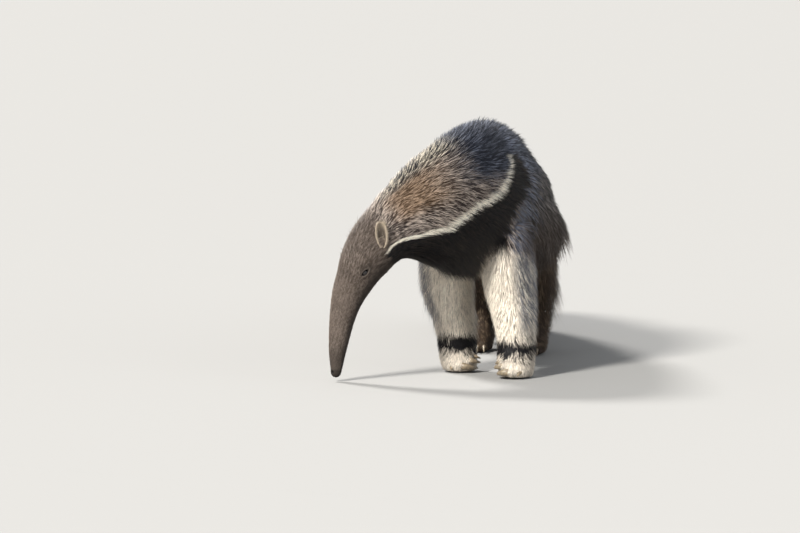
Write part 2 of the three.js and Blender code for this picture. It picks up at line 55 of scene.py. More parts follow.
# The body's own numbers, in millimetres, are those of the frame's solids; everything built is in metres.
BOX_CENTRE = np.array([-116.0, 574.0, 0.0])
SPINE_NAMES = (
    "muzzle_end muzzle snout snout_root eyes forehead ears nape neck neck_middle neck_base shoulders ribs loin "
    "hips rump tail_root tail_front tail_middle tail_back tail_tip hair_middle hair_end"
).split()
# middle x, y, z; half width, up, down; coat on the back, the side, the lower flank and underneath
SPINE = np.array(
    [
        [-346, -249, 22, 13, 12, 13, 1, 1, 1, 1],
        [-342, -248, 80, 19, 20, 21, 2, 2, 2, 2],
        [-329, -246, 165, 25, 30, 30, 3, 3, 3, 3],
        [-315, -243, 215, 31, 38, 37, 4, 4, 4, 4],
        [-296, -240, 259, 40, 46, 45, 5, 5, 5, 5],
        [-278, -237, 297, 47, 54, 55, 7, 6, 6, 6],
        [-254, -231, 335, 52, 60, 62, 12, 8, 8, 8],
        [-225, -220, 367, 56, 64, 66, 20, 10, 14, 26],
        [-188, -201, 393, 63, 72, 76, 28, 13, 22, 38],
        [-124, -155, 425, 82, 98, 106, 42, 16, 30, 52],
        [-74, -84, 438, 100, 122, 126, 56, 18, 36, 54],
        [-40, 5, 443, 112, 130, 142, 64, 20, 32, 44],
        [-28, 130, 440, 114, 120, 134, 66, 22, 50, 52],
        [-32, 300, 428, 106, 104, 122, 64, 26, 80, 62],
        [-50, 470, 408, 97, 88, 110, 62, 34, 98, 70],
        [-62, 590, 384, 78, 68, 86, 62, 44, 96, 100],
        [-76, 685, 364, 46, 44, 48, 70, 50, 78, 150],
        [-95, 800, 342, 34, 34, 34, 80, 56, 78, 225],
        [-130, 940, 312, 28, 28, 28, 86, 58, 84, 262],
        [-180, 1085, 278, 23, 23, 23, 84, 58, 80, 236],
        [-236, 1220, 246, 17, 17, 17, 76, 52, 72, 198],
        [-278, 1310, 222, 9, 9, 9, 66, 44, 62, 160],
        [-338, 1440, 178, 3, 3, 3, 20, 14, 24, 40],
    ],
    float,
)
# height, half size across and along, how far ahead of the axis, coat, coat behind
FORE_LEG = np.array(
    [
        [0, 34, 44, 10, 1, 1],
        [9, 40, 51, 10, 2, 2],
        [34, 43, 52, 8, 4, 4],
        [62, 41, 45, 2, 7, 10],
        [95, 39, 42, 0, 11, 24],
        [150, 43, 50, 0, 13, 34],
        [222, 51, 62, 0, 15, 40],
        [285, 56, 74, 0, 16, 36],
        [350, 54, 80, 0, 16, 20],
        [410, 46, 66, 0, 10, 10],
    ],
    float,
)
HIND_LEG = np.array(
    [
        [0, 34, 70, 28, 1, 1],
        [9, 40, 77, 28, 2, 2],
        [30, 40, 70, 20, 6, 6],
        [55, 37, 50, 4, 10, 14],
        [85, 36, 42, -8, 14, 26],
        [130, 39, 46, -10, 16, 40],
        [190, 47, 60, 4, 18, 56],
        [250, 55, 78, 14, 20, 60],
        [320, 60, 92, 6, 20, 40],
        [390, 50, 80, 0, 14, 14],
    ],
    float,
)
# sections, axis heights, axis x and y, outer side, share of its coat the leg has inside
LEGS = {
    "foreleg_left": (FORE_LEG, [0, 135, 222, 410], [80, 68, 50, 30], [-72, -45, -20, 5], 1, 0.8),
    "foreleg_right": (FORE_LEG, [0, 135, 222, 410], [-84, -102, -117, -104], [62, 50, 34, 12], -1, 0.8),
    "hindleg_left": (HIND_LEG, [0, 130, 250, 390], [14, 10, 8, 2], [548, 560, 520, 500], 1, 0.2),
    "hindleg_right": (HIND_LEG, [0, 130, 250, 390], [-134, -130, -124, -112], [615, 610, 550, 505], -1, 0.2),
}
# across and ahead of the foot's middle, height, claw's length and width, share that curls inwards and back
FORE_TOES = [(33, 26, 42, 34, 8, 1), (24, 44, 33, 52, 13, 1), (4, 55, 19, 76, 16, 1), (-18, 50, 17, 30, 9, 0.35)]
HIND_TOES = [0.72, 0.38, 0.02, -0.34, -0.68]
EYE = {"s": 268.0, "turn": -15.0, "sunk": 5.5, "tilt": -24.0, "along": 9.4, "across": 4.6}
EAR = {"s": 346.0, "turn": -3.0, "height": 71.0, "width": 37.0, "depth": 16.0}

# The white stripe and the pale rear edge of the black band: distance along the spine, turn round it in degrees
FRONT_STRIPE = np.array(
    [[338, -24], [360, -18], [430, -20], [490, -20], [525, -10], [570, 0], [620, 8], [655, 20], [682, 33], [700, 46]],
    float,
)
REAR_EDGE = np.array([[752, 50], [752, 38], [745, 18], [715, 6], [675, -8], [645, -22], [640, -36], [652, -56]], float)
TURN_LENGTH = 2.0  # millimetres on the body for a degree of turn

RNG = np.random.default_rng(7)


def srgb(r, g, b):
    """A colour given in 0 to 255 as linear light."""
    c = np.array([r, g, b], float) / 255.0
    return np.where(c <= 0.04045, c / 12.92, ((c + 0.055) / 1.055) ** 2.4)


def smoothstep(low, high, x):
    t = np.clip((np.asarray(x, float) - low) / (high - low), 0, 1)
    return t * t * (3 - 2 * t)


def mix(a, b, w):
    return a + (b - a) * np.asarray(w)[..., None]


def unit(v):
    return v / np.maximum(np.linalg.norm(v, axis=-1, keepdims=True), 1e-9)


def smooth(xs, vs, at):
    """Smooth curve through values at rising positions."""
    xs = np.asarray(xs, float)
    vs = np.asarray(vs, float)
    at = np.clip(np.asarray(at, float), xs[0], xs[-1])
    i = np.clip(np.searchsorted(xs, at) - 1, 0, len(xs) - 2)
    gaps = (xs[2:] - xs[:-2]).reshape((-1,) + (1,) * (vs.ndim - 1))
    slope = np.empty_like(vs)
    slope[1:-1] = (vs[2:] - vs[:-2]) / gaps
    slope[0] = (vs[1] - vs[0]) / (xs[1] - xs[0])
    slope[-1] = (vs[-1] - vs[-2]) / (xs[-1] - xs[-2])
    h = xs[i + 1] - xs[i]
    t = (at - xs[i]) / h
    if vs.ndim > 1:
        h, t = h[..., None], t[..., None]
    t2, t3 = t * t, t * t * t
    a = vs[i] * (2 * t3 - 3 * t2 + 1) + slope[i] * h * (t3 - 2 * t2 + t)
    return a + vs[i + 1] * (3 * t2 - 2 * t3) + slope[i + 1] * h * (t3 - t2)


SPINE_AT = np.concatenate([[0], np.cumsum(np.linalg.norm(np.diff(SPINE[:, :3], axis=0), axis=1))])
PLACE = dict(zip(SPINE_NAMES, SPINE_AT))


def spine_frame(s):
    """Middle, tailwards, up the back and to the animal's left at a distance along the spine."""
    middle = smooth(SPINE_AT, SPINE[:, :3], s)
    tailwards = unit(smooth(SPINE_AT, SPINE[:, :3], s + 2) - smooth(SPINE_AT, SPINE[:, :3], s - 2))
    back = unit(np.array([0, 0, 1.0]) - tailwards * tailwards[..., 2:3])
    return middle, tailwards, back, np.cross(tailwards, back)


def coat_depth(s, turn):
    """Depth of the coat, in millimetres."""
    coat = smooth(SPINE_AT, SPINE[:, 6:], s)
    rise = np.degrees(np.arcsin(np.clip(np.sin(turn), -1, 1)))
    stops = [-90, -28, 4, 46, 90]
    keys = np.stack([coat[..., 3], coat[..., 2], coat[..., 1], coat[..., 1], coat[..., 0]], axis=-1)
    j = np.clip(np.searchsorted(stops, rise) - 1, 0, 3)
    low, high = np.take(stops, j), np.take(stops, j + 1)
    t = np.clip((rise - low) / (high - low), 0, 1)
    t = t * t * (3 - 2 * t)
    a = np.take_along_axis(keys, j[..., None], -1)[..., 0]
    b = np.take_along_axis(keys, j[..., None] + 1, -1)[..., 0]
    return a + (b - a) * t


def skin_lift(depth):
    """How far the skin lies above the flesh, so that a deep coat has a soft core under it."""
    return 0.34 * np.maximum(depth - 14, 0)


def body_point(s, turn, out=0.0):
    """A point of the body, in millimetres: the flesh's surface moved out along its normal."""
    s, turn = np.broadcast_arrays(np.asarray(s, float), np.asarray(turn, float))
    middle, _, back, left = spine_frame(s)
    size = smooth(SPINE_AT, SPINE[:, 3:6], s)
    tall = np.where(np.sin(turn) > 0, size[..., 1], size[..., 2])
    ox, oy = np.cos(turn) / size[..., 0], np.sin(turn) / tall
    n = np.hypot(ox, oy)
    across = size[..., 0] * np.cos(turn) + ox / n * out
    rise = tall * np.sin(turn) + oy / n * out
    return middle + left * across[..., None] + back * rise[..., None]


def leg_point(name, z, turn, out=0.0):
    sections, heights, xs, ys, _, _ = LEGS[name]
    z, turn = np.broadcast_arrays(np.asarray(z, float), np.asarray(turn, float))
    v = smooth(sections[:, 0], sections[:, 1:], z)
    x = smooth(heights, xs, z) + (v[..., 0] + out) * np.cos(turn)
    y = smooth(heights, ys, z) - v[..., 2] + (v[..., 1] + out) * np.sin(turn)
    return np.stack([x, y, z], axis=-1)


def to_metres(p):
    return (np.asarray(p, float) - BOX_CENTRE) / 1000.0


def to_millimetres(p):
    return np.asarray(p, float) * 1000.0 + BOX_CENTRE


# Mesh helpers


def positions(mesh):
    co = np.empty(len(mesh.vertices) * 3)
    mesh.vertices.foreach_get("co", co)
    return co.reshape(-1, 3)


def set_positions(mesh, co):
    mesh.vertices.foreach_set("co", np.ascontiguousarray(co, float).ravel())
    mesh.update()


def normals_of(mesh):
    out = np.empty(len(mesh.vertices) * 3)
    mesh.vertex_normals.foreach_get("vector", out)
    return out.reshape(-1, 3)


def only(piece):
    bpy.ops.object.select_all(action="DESELECT")
    piece.select_set(True)
    bpy.context.view_layer.objects.active = piece


def apply_modifier(piece, kind, **settings):
    only(piece)
    modifier = piece.modifiers.new(kind, kind)
    for key, value in settings.items():
        setattr(modifier, key, value)
    bpy.ops.object.modifier_apply(modifier=modifier.name)


def face_outwards(piece):
    only(piece)
    bpy.ops.object.mode_set(mode="EDIT")
    bpy.ops.mesh.select_all(action="SELECT")
    bpy.ops.mesh.normals_make_consistent(inside=False)
    bpy.ops.object.mode_set(mode="OBJECT")


def new_sphere(name, sides, levels):
    bpy.ops.object.select_all(action="DESELECT")
    bpy.ops.mesh.primitive_uv_sphere_add(segments=sides, ring_count=levels, radius=1, location=(0, 0, 0))
    piece = bpy.context.active_object
    piece.name = name
    piece.data.name = name
    return piece


def tube(name, rings, ends=None):
    """A closed tube through rings of points, in metres, drawn out of a sphere level by level."""
    rings = np.asarray(rings, float)
    count, sides = rings.shape[:2]
    piece = new_sphere(name, sides, count + 1)
    co = positions(piece.data)
    level = np.rint(np.arccos(np.clip(co[:, 2], -1, 1)) * (count + 1) / math.pi).astype(int)
    turn = np.rint((np.arctan2(co[:, 1], co[:, 0]) % (2 * math.pi)) * sides / (2 * math.pi)).astype(int) % sides
    first, last = ends if ends is not None else (rings[0].mean(axis=0), rings[-1].mean(axis=0))
    out = rings[np.clip(level - 1, 0, count - 1), turn]
    out[level == 0] = first
    out[level == count + 1] = last
    set_positions(piece.data, out)
    face_outwards(piece)
    return piece


def blob(name, centre, directions, halves, detail=16):
    """An ellipsoid with its own axes, in millimetres."""
    piece = new_sphere(name, detail, detail // 2 + 2)
    co = positions(piece.data)
    basis = np.asarray(directions) * np.asarray(halves, float)[:, None]
    set_positions(piece.data, to_metres(np.asarray(centre) + co @ basis))
    face_outwards(piece)
    return piece


def joined(name, pieces):
    bpy.ops.object.select_all(action="DESELECT")
    for piece in pieces:
        piece.select_set(True)
    bpy.context.view_layer.objects.active = pieces[0]
    if len(pieces) > 1:
        bpy.ops.object.join()
    piece = bpy.context.active_object
    piece.name = name
    piece.data.name = name
    return piece


def smooth_shade(piece):
    piece.data.polygons.foreach_set("use_smooth", [True] * len(piece.data.polygons))
    piece.data.update()


def unwrap(piece, name="OFBake"):
    only(piece)
    while piece.data.uv_layers:
        piece.data.uv_layers.remove(piece.data.uv_layers[0])
    piece.data.uv_layers.new(name=name)
    bpy.ops.object.mode_set(mode="EDIT")
    bpy.ops.mesh.select_all(action="SELECT")
    bpy.ops.uv.smart_project(angle_limit=math.radians(72), island_margin=0.002)
    bpy.ops.object.mode_set(mode="OBJECT")


def colour_layer(mesh, colours, name="coat_colour"):
    layer = mesh.color_attributes.new(name=name, type="FLOAT_COLOR", domain="POINT")
    rgba = np.ones((len(mesh.vertices), 4))
    rgba[:, :3] = np.clip(colours, 0, 1)
    layer.data.foreach_set("color", rgba.ravel())
    mesh.color_attributes.active_color = layer


# Reading a place on the body


def spine_place(p):
    """Distance along the spine and turn round it of points given in millimetres, and how deep they lie."""
    samples = np.arange(0, SPINE_AT[-1], 10.0)
    middles, tails, _, _ = spine_frame(samples)
    size = smooth(SPINE_AT, SPINE[:, 3:6], samples)
    s = np.empty(len(p))
    for start in range(0, len(p), 4000):
        part = p[start : start + 4000]
        gap = part[:, None, :] - middles[None]
        along = np.einsum("ijk,jk->ij", gap, tails)
        far = np.linalg.norm(gap, axis=-1) / (60 + size[None, :, 1]) + 0.6 * np.abs(along) / 60
        best = np.argmin(far, axis=1)
        s[start : start + 4000] = samples[best] + along[np.arange(len(part)), best]
    s = np.clip(s, 0, SPINE_AT[-1] - 1)
    middle, _, back, left = spine_frame(s)
    gap = p - middle
    u, v = (gap * left).sum(-1), (gap * back).sum(-1)
    size = smooth(SPINE_AT, SPINE[:, 3:6], s)
    tall = np.where(v > 0, size[:, 1], size[:, 2])
    turn = np.arctan2(v / tall, u / size[:, 0])
    return s, turn, np.hypot(u / size[:, 0], v / tall)


class Places:
    """Where points given in millimetres are on the animal: along and round the body, and how far on a leg."""

    def __init__(self, p):
        self.p = p
        self.s, self.turn, ratio = spine_place(p)
        self.degrees = np.degrees(self.turn)
        self.rise = np.degrees(np.arcsin(np.clip(np.sin(self.turn), -1, 1)))
        self.depth = coat_depth(self.s, self.turn)
        self.leg = np.zeros(len(p))
        self.fore = np.zeros(len(p))
        self.leg_depth = np.zeros(len(p))
        self.leg_rear = np.zeros(len(p))
        self.leg_outer = np.zeros(len(p))
        self.leg_y = np.zeros(len(p))
        for name, (sections, heights, xs, ys, outer, inner) in LEGS.items():
            z = np.clip(p[:, 2], 0, sections[-1, 0])
            v = smooth(sections[:, 0], sections[:, 1:], z)
            dx = p[:, 0] - smooth(heights, xs, z)
            dy = p[:, 1] - (smooth(heights, ys, z) - v[:, 2])
            on_leg = np.hypot(dx / v[:, 0], dy / v[:, 1])
            near = smoothstep(-0.25, 0.25, ratio - on_leg) * (on_leg < 2.6)
            near *= 1 - smoothstep(sections[-1, 0] - 70, sections[-1, 0], p[:, 2])
            best = near > self.leg
            rear = smoothstep(-0.2, 0.8, dy / v[:, 1])
            coat = v[:, 3] * np.where(dx * outer > 0, 1, inner)
            self.leg = np.where(best, near, self.leg)
            self.fore = np.where(best, float(name.startswith("fore")), self.fore)
            self.leg_rear = np.where(best, rear, self.leg_rear)
            self.leg_depth = np.where(best, coat + (v[:, 4] - coat) * rear, self.leg_depth)
            self.leg_outer = np.where(best, dx * outer / v[:, 0], self.leg_outer)
            self.leg_y = np.where(best, dy / v[:, 1], self.leg_y)


def band_distance(s, degrees, line):
    """Distance in millimetres over the body from a line of places."""
    x = np.stack([s, degrees * TURN_LENGTH], axis=-1)
    pts = line * np.array([1, TURN_LENGTH])
    best = np.full(len(x), 1e9)
    for a, b in zip(pts[:-1], pts[1:]):
        t = np.clip(((x - a) @ (b - a)) / ((b - a) @ (b - a)), 0, 1)
        best = np.minimum(best, np.linalg.norm(x - (a + t[:, None] * (b - a)), axis=-1))
    return best


def inside_band(s, degrees):
    """Whether a place is in the black band that runs from the throat over the shoulder."""
    loop = np.concatenate([FRONT_STRIPE, REAR_EDGE, [[690, -100], [325, -100]]]) * np.array([1, TURN_LENGTH])
    x, y = s, degrees * TURN_LENGTH
    inside = np.zeros(len(s), bool)
    for (x0, y0), (x1, y1) in zip(loop, np.roll(loop, -1, axis=0)):
        crosses = (y0 > y) != (y1 > y)
        at = x0 + (y - y0) * (x1 - x0) / (y1 - y0 if y1 != y0 else 1e-9)
        inside ^= crosses & (x < at)
    return inside


def ripple(p, size, seed):
    """Smooth noise of about one wave in so many millimetres, from -1 to 1."""
    r = np.random.default_rng(seed)
    out = np.zeros(len(p))
    for _ in range(5):
        k = unit(r.normal(size=3)) * (2 * math.pi / (size * r.uniform(0.7, 1.5)))
        out += np.sin(p @ k + r.uniform(0, 6.28))
    return out / 2.6


def colours_at(at, palette, spread):
    """Colours of the coat at its roots and at its tips, with each hair's own draw in spread from 0 to 1."""
    s, rise = at.s, at.rise
    noise = ripple(at.p, 34, 3)
    rise_n = rise + 2.5 * ripple(at.p, 26, 5)
    s_n = s + 5 * ripple(at.p, 22, 6)
    grain = np.where(s < 690, 0.3 * ripple(at.p, 8, 31), 0.42 * ripple(at.p, 15, 31))
    strand = np.clip(0.5 + 0.75 * (spread[:, 0] - 0.5) + grain, 0, 1)
    light = strand < 0.5 + 0.1 * noise
    one = np.ones(len(s))

    root = palette["flank_dark"] * one[:, None]
    tip = np.where((strand < 0.3 + 0.08 * noise)[:, None], palette["flank_light"], palette["flank_dark"] * 1.5)

    low = 1 - smoothstep(-35, 0, rise)
    root = mix(root, palette["hind_leg"] * 0.7 * one[:, None], low * 0.8)
    tip = mix(tip, palette["hind_leg"] * 1.2 * one[:, None], low * 0.6)

    # tail
    w = smoothstep(1300, 1420, s)
    root = mix(root, palette["tail_dark"] * one[:, None], w)
    tail_tip = np.where((strand < 0.42)[:, None], palette["tail_light"], palette["tail_dark"] * 1.5)
    tip = mix(tip, tail_tip, w)

    # neck and shoulder before the stripe
    w = 1 - smoothstep(640, 720, s_n)
    neck_tip = np.where(light[:, None], palette["neck_light"], palette["neck_dark"] * 1.7)
    root = mix(root, palette["neck_dark"] * one[:, None], w)
    tip = mix(tip, neck_tip, w)
    brown = smoothstep(385, 430, s) * (1 - smoothstep(470, 560, s)) * smoothstep(0, 26, rise)
    brown *= 1 - smoothstep(60, 80, rise)
    brown_tip = np.where(light[:, None], palette["neck_brown"] * 1.5, palette["neck_brown"] * 0.6)
    tip = mix(tip, brown_tip, brown * 0.65)
    root = mix(root, palette["neck_brown"] * 0.4 * one[:, None], brown * 0.65)

    # crest, its pale tips partly the hair's own grizzle and partly painted backlight
    w = smoothstep(62, 80, rise_n) * smoothstep(380, 450, s) * (1 - smoothstep(1290, 1400, s))
    pale_share = 0.36 - 0.22 * smoothstep(640, 900, s)
    crest_tip = np.where((strand < pale_share)[:, None], palette["crest_light"], palette["crest_dark"] * 1.5)
    root = mix(root, palette["crest_dark"] * one[:, None], w)
    tip = mix(tip, crest_tip, w)
    # the hump: black hair with a painted blue sky reflection, and pale strands that are painted highlights
    hump = smoothstep(14, 36, rise_n) * smoothstep(520, 610, s_n) * (1 - smoothstep(860, 1080, s))
    hump_sheen_tip = np.where((strand < 0.27)[:, None], palette["rear_edge"] * 0.8, palette["hump"] * 1.1)
    root = mix(root, palette["hump"] * 0.6 * one[:, None], hump)
    tip = mix(tip, hump_sheen_tip, hump)

    # head
    w = 1 - smoothstep(350, 400, s)
    head_tip = np.where(light[:, None], palette["head_light"], palette["head_dark"] * 1.8)
    root = mix(root, palette["head_dark"] * one[:, None], w)
    tip = mix(tip, head_tip, w)
    # the head's underside darker: painted shade
    under = w * (1 - smoothstep(-60, -25, rise)) * 0.75
    root = mix(root, palette["band"] * 1.3 * one[:, None], under)
    tip = mix(tip, palette["head_dark"] * one[:, None], under)
    snout = smoothstep(60, 110, s) * (1 - smoothstep(200, 250, s)) * smoothstep(-30, 0, rise)
    tip = mix(tip, palette["head_light"] * 1.25 * one[:, None], snout * 0.5 * (spread[:, 2] < 0.6))
    muzzle = 1 - smoothstep(20, 90, s)
    tip = mix(tip, palette["head_dark"] * 0.8 * one[:, None], muzzle * 0.8)

    # black band, white stripe and the pale rear edge, whose pale hair is painted in bluish shade
    inside = inside_band(s_n, rise_n).astype(float)
    root = mix(root, palette["band"] * one[:, None], inside)
    band_tip = np.where((strand < 0.3)[:, None], palette["head_dark"], palette["band"] * 1.3)
    tip = mix(tip, band_tip, inside)
    stripe_d = band_distance(s + 2 * noise, rise + 1.2 * noise, FRONT_STRIPE)
    taper = 5.7 * (1 - 0.5 * smoothstep(640, 690, s)) * (1 - 0.35 * (1 - smoothstep(345, 400, s)))
    stripe = (1 - smoothstep(taper - 2, taper + 3, stripe_d)) * (s > 338)
    root = mix(root, palette["stripe"] * 0.8, stripe)
    tip = mix(tip, palette["stripe"] * one[:, None], stripe)
    # the rear edge: pale hair, its colour painted as in bluish shade
    edge_d = band_distance(s, rise, REAR_EDGE)
    outside = (1 - inside) * (s > 600) * (rise > -50)
    edge = outside * np.exp(-(((edge_d + 6 * noise - 22) / 14) ** 2)) * (spread[:, 1] < 0.6)
    root = mix(root, palette["rear_edge"] * 0.35, edge)
    tip = mix(tip, palette["rear_edge"] * one[:, None], edge)
    # scattered pale tips behind the band: painted sheen, light reflected off the flank hair
    pale = outside * (1 - smoothstep(40, 130, edge_d)) * (spread[:, 1] < 0.2) * (rise < 45)
    tip = mix(tip, palette["rear_edge"] * 0.8, pale)

    # belly
    belly = (1 - smoothstep(-70, -45, rise)) * smoothstep(680, 780, s) * (1 - smoothstep(1350, 1450, s))
    root = mix(root, palette["hind_leg"] * 0.6 * one[:, None], belly)
    tip = mix(tip, palette["hind_leg"] * one[:, None], belly)

    # legs
    z = at.p[:, 2] + 7 * ripple(at.p, 30, 9) + 20 * (spread[:, 1] - 0.5)
    fore = at.leg * at.fore
    top = 292 - 20 * at.leg_y
    white = fore * (1 - smoothstep(top - 16, top + 14, z))
    cream = np.where((strand < 0.78)[:, None], palette["fore_leg"], palette["fore_leg"] * 0.6)
    # forelegs darker towards the rear: painted shade
    rear_shade = smoothstep(0.15, 0.75, at.leg_y) * 0.75
    cream = mix(cream, palette["hind_leg"] * 1.4 * one[:, None], rear_shade * (spread[:, 2] < 0.7))
    # forelegs' outer sides greyed with the bluish edge colour: painted shade
    outer = smoothstep(0.35, 0.85, at.leg_outer) * smoothstep(80, 150, at.p[:, 2])
    cream = mix(cream, palette["rear_edge"] * 0.55, outer * (spread[:, 2] > 0.3))
    cream = cream * (0.72 + 0.28 * smoothstep(40, 90, at.p[:, 2]))[:, None]
    root = mix(root, palette["fore_leg"] * 0.76 * one[:, None], white)
    tip = mix(tip, cream, white)
    wrist = fore * smoothstep(46, 56, z) * (1 - smoothstep(84, 100, z))
    root = mix(root, palette["band"] * one[:, None], wrist)
    tip = mix(tip, palette["band"] * 1.6 * one[:, None], wrist)
    hind = at.leg * (1 - at.fore)
    hind_tip = np.where((strand < 0.28)[:, None], palette["tail_light"] * 0.8, palette["hind_leg"] * 1.3)
    root = mix(root, palette["hind_leg"] * 0.6 * one[:, None], hind)
    tip = mix(tip, hind_tip, hind)
    return np.clip(root, 0, 1), np.clip(tip, 0, 1)


# Coat


def lie_of(at, normals):
    """Direction in which the hair lies over the skin, and how far it leans for each millimetre it rises."""
    _, tails, back, _ = spine_frame(at.s)
    down = np.array([0, 0, -1.0])
    drop = 0.15 + 0.75 * (1 - smoothstep(-20, 60, at.rise))
    drop *= smoothstep(360, 560, at.s)
    drop += 0.35 * smoothstep(1000, 1300, at.s) * (1 - smoothstep(10, 70, at.rise))
    body = tails + down * drop[:, None]
    lean = 1.5 - 0.7 * smoothstep(60, 85, at.rise) * smoothstep(380, 450, at.s)
    lean = lean + 0.8 * (1 - smoothstep(300, 380, at.s))
    tail = smoothstep(1330, 1450, at.s)
    lean = lean * (1 - tail) + tail * (1.1 - 0.5 * (1 - smoothstep(-80, -20, at.rise)))
    leg = down + np.array([0, 1.0, 0]) * (0.25 + 0.35 * at.leg_rear)[:, None]
    direction = mix(body, leg, at.leg)
    lean = lean * (1 - at.leg) + at.leg * 1.9
    direction = direction - normals * (direction * normals).sum(-1, keepdims=True)
    return unit(direction), lean


def coat_pieces(name, roots, normals, uv, at, look, palette, limit=190000):
    """Tufts over the skin, as closed blades of three sides, split into pieces of a bearable size."""
    count = len(roots)
    shares = [0.3, 0.68] if look["long"] else [0.42]
    rings = len(shares)
    per = rings * 3 + 2
    direction, lean = lie_of(at, normals)
    side = np.cross(normals, direction)
    jitter = RNG.normal(0, look["jitter"], count)[:, None]
    direction = unit(direction + side * jitter + side * (0.18 * ripple(at.p, 70, 21))[:, None])
    leg_or_body = at.depth * (1 - at.leg) + at.leg_depth * at.leg
    depth = leg_or_body - skin_lift(at.depth) * (1 - at.leg)
    rise = np.maximum(depth * RNG.uniform(look["low"], look["high"], count), look["least"])
    rise_m = rise / 1000.0
    far = rise * lean * RNG.uniform(0.8, 1.15, count) + look["extra"]
    far_m = far / 1000.0
    tips = roots + normals * rise_m[:, None] + direction * far_m[:, None]
    hang = np.array([0, 0, -1.0]) * (look["hang"] * far_m * (1 - 0.7 * smoothstep(40, 80, at.rise)))[:, None]
    tips = tips + hang
    throat = smoothstep(380, 440, at.s) * (1 - smoothstep(600, 700, at.s)) * (1 - at.leg)
    throat = throat * (1 - smoothstep(-70, -35, at.rise)) * RNG.uniform(0.5, 1.2, count)
    tips[:, 2] -= 0.013 * throat
    if look["clump"] > 0:
        step = max(2, int(look["clump_size"]))
        centres = RNG.choice(count, max(4, count // step), replace=False)
        tree = KDTree(len(centres))
        for k, c in enumerate(centres):
            tree.insert(roots[c], k)
        tree.balance()
        near = np.array([centres[tree.find(root)[1]] for root in roots])
        pull = (look["clump"] * RNG.uniform(0.4, 1.0, count))[:, None]
        target = tips[near] + (roots - roots[near]) * 0.25
        tips = tips + (target - tips) * pull
    tips[:, 2] = np.maximum(tips[:, 2], 0.004)
    bends = roots + normals * (rise_m * 0.72)[:, None] + (tips - roots - normals * rise_m[:, None]) * 0.36
    bends[:, 2] = np.maximum(bends[:, 2], 0.003)
    starts = roots - normals * 0.0015

    width = look["width"] / 1000.0 * RNG.uniform(0.7, 1.3, count) / 2
    verts = np.empty((count, per, 3))
    verts[:, 0] = starts
    for k, t in enumerate(shares):
        centre = starts * (1 - t) ** 2 + bends * 2 * t * (1 - t) + tips * t * t
        along = unit((bends - starts) * (1 - t) + (tips - bends) * t)
        across = unit(np.cross(normals, along) + 1e-6)
        out = np.cross(along, across)
        size = (width * (1.0 if k == 0 else 0.7))[:, None]
        verts[:, 1 + k * 3] = centre + across * size
        verts[:, 2 + k * 3] = centre + out * size * 0.7
        verts[:, 3 + k * 3] = centre - across * size
    verts[:, -1] = tips
    verts[:, :, 2] = np.maximum(verts[:, :, 2], 0.0005)

    spread = RNG.random((count, 3))
    seen = Places(to_millimetres(roots + (tips - roots) * 0.6)) if look["marked"] else at
    root_colour, tip_colour = colours_at(seen, palette, spread)
    shade = RNG.uniform(0.8, 1.2, count)[:, None]
    colours = np.empty((count, per, 3))
    colours[:, 0] = root_colour * shade
    for k, t in enumerate(shares):
        w = smoothstep(0.05, look["tip_from"], t)
        colours[:, 1 + k * 3 : 4 + k * 3] = (mix(root_colour, tip_colour, np.full(count, w)) * shade)[:, None]
    colours[:, -1] = tip_colour * shade

    last = per - 1
    top = last - 3
    around = ((0, 1), (1, 2), (2, 0))
    faces = [[1 + b, 1 + a, 0] for a, b in around]
    for k in range(rings - 1):
        faces += [[1 + k * 3 + a, 1 + k * 3 + b, 4 + k * 3 + b, 4 + k * 3 + a] for a, b in around]
    faces += [[top + a, top + b, last] for a, b in around]
    corners = np.array([v for face in faces for v in face])
    totals = np.array([len(face) for face in faces])
    triangles = sum(len(face) - 2 for face in faces)
    patch = RNG.uniform(-0.0015, 0.0015, (per, 2))

    pieces = []
    order = np.argsort(at.s) if look.get("sort", True) else np.arange(count)
    chunks = max(1, math.ceil(count * triangles / limit))
    for c, part in enumerate(np.array_split(order, chunks)):
        n = len(part)
        mesh = bpy.data.meshes.new(f"{name}_{c + 1}" if chunks > 1 else name)
        mesh.vertices.add(n * per)
        mesh.vertices.foreach_set("co", verts[part].ravel())
        loops = (corners[None] + (np.arange(n) * per)[:, None]).ravel()
        mesh.loops.add(len(loops))
        mesh.loops.foreach_set("vertex_index", loops.astype(np.int32))
        starts_at = np.concatenate([[0], np.cumsum(np.tile(totals, n))[:-1]])
        mesh.polygons.add(n * len(totals))
        mesh.polygons.foreach_set("loop_start", starts_at.astype(np.int32))
        mesh.polygons.foreach_set("loop_total", np.tile(totals, n).astype(np.int32))
        mesh.update(calc_edges=True)
        even = look.get("even", 0.5)
        blade = np.empty(n * per * 3)
        mesh.vertices.foreach_get("normal", blade)
        shaded = blade.reshape(-1, 3) * (1 - even) + np.repeat(normals[part], per, axis=0) * even
        mesh.normals_split_custom_set_from_vertices(unit(shaded))
        layer = mesh.uv_layers.new(name="OFBake")
        place = (uv[part][:, None] + patch[None]).reshape(-1, 2)
        layer.data.foreach_set("uv", np.clip(place[loops], 0, 1).ravel())
        colour_layer(mesh, colours[part].reshape(-1, 3))
        piece = bpy.data.objects.new(mesh.name, mesh)
        bpy.context.scene.collection.objects.link(piece)
        smooth_shade(piece)
        piece.data.materials.append(fur_material(f"{name}_hair", look["rough"], look["sheen"]))
        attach(piece, BODY)
        pieces.append(piece)
    return pieces


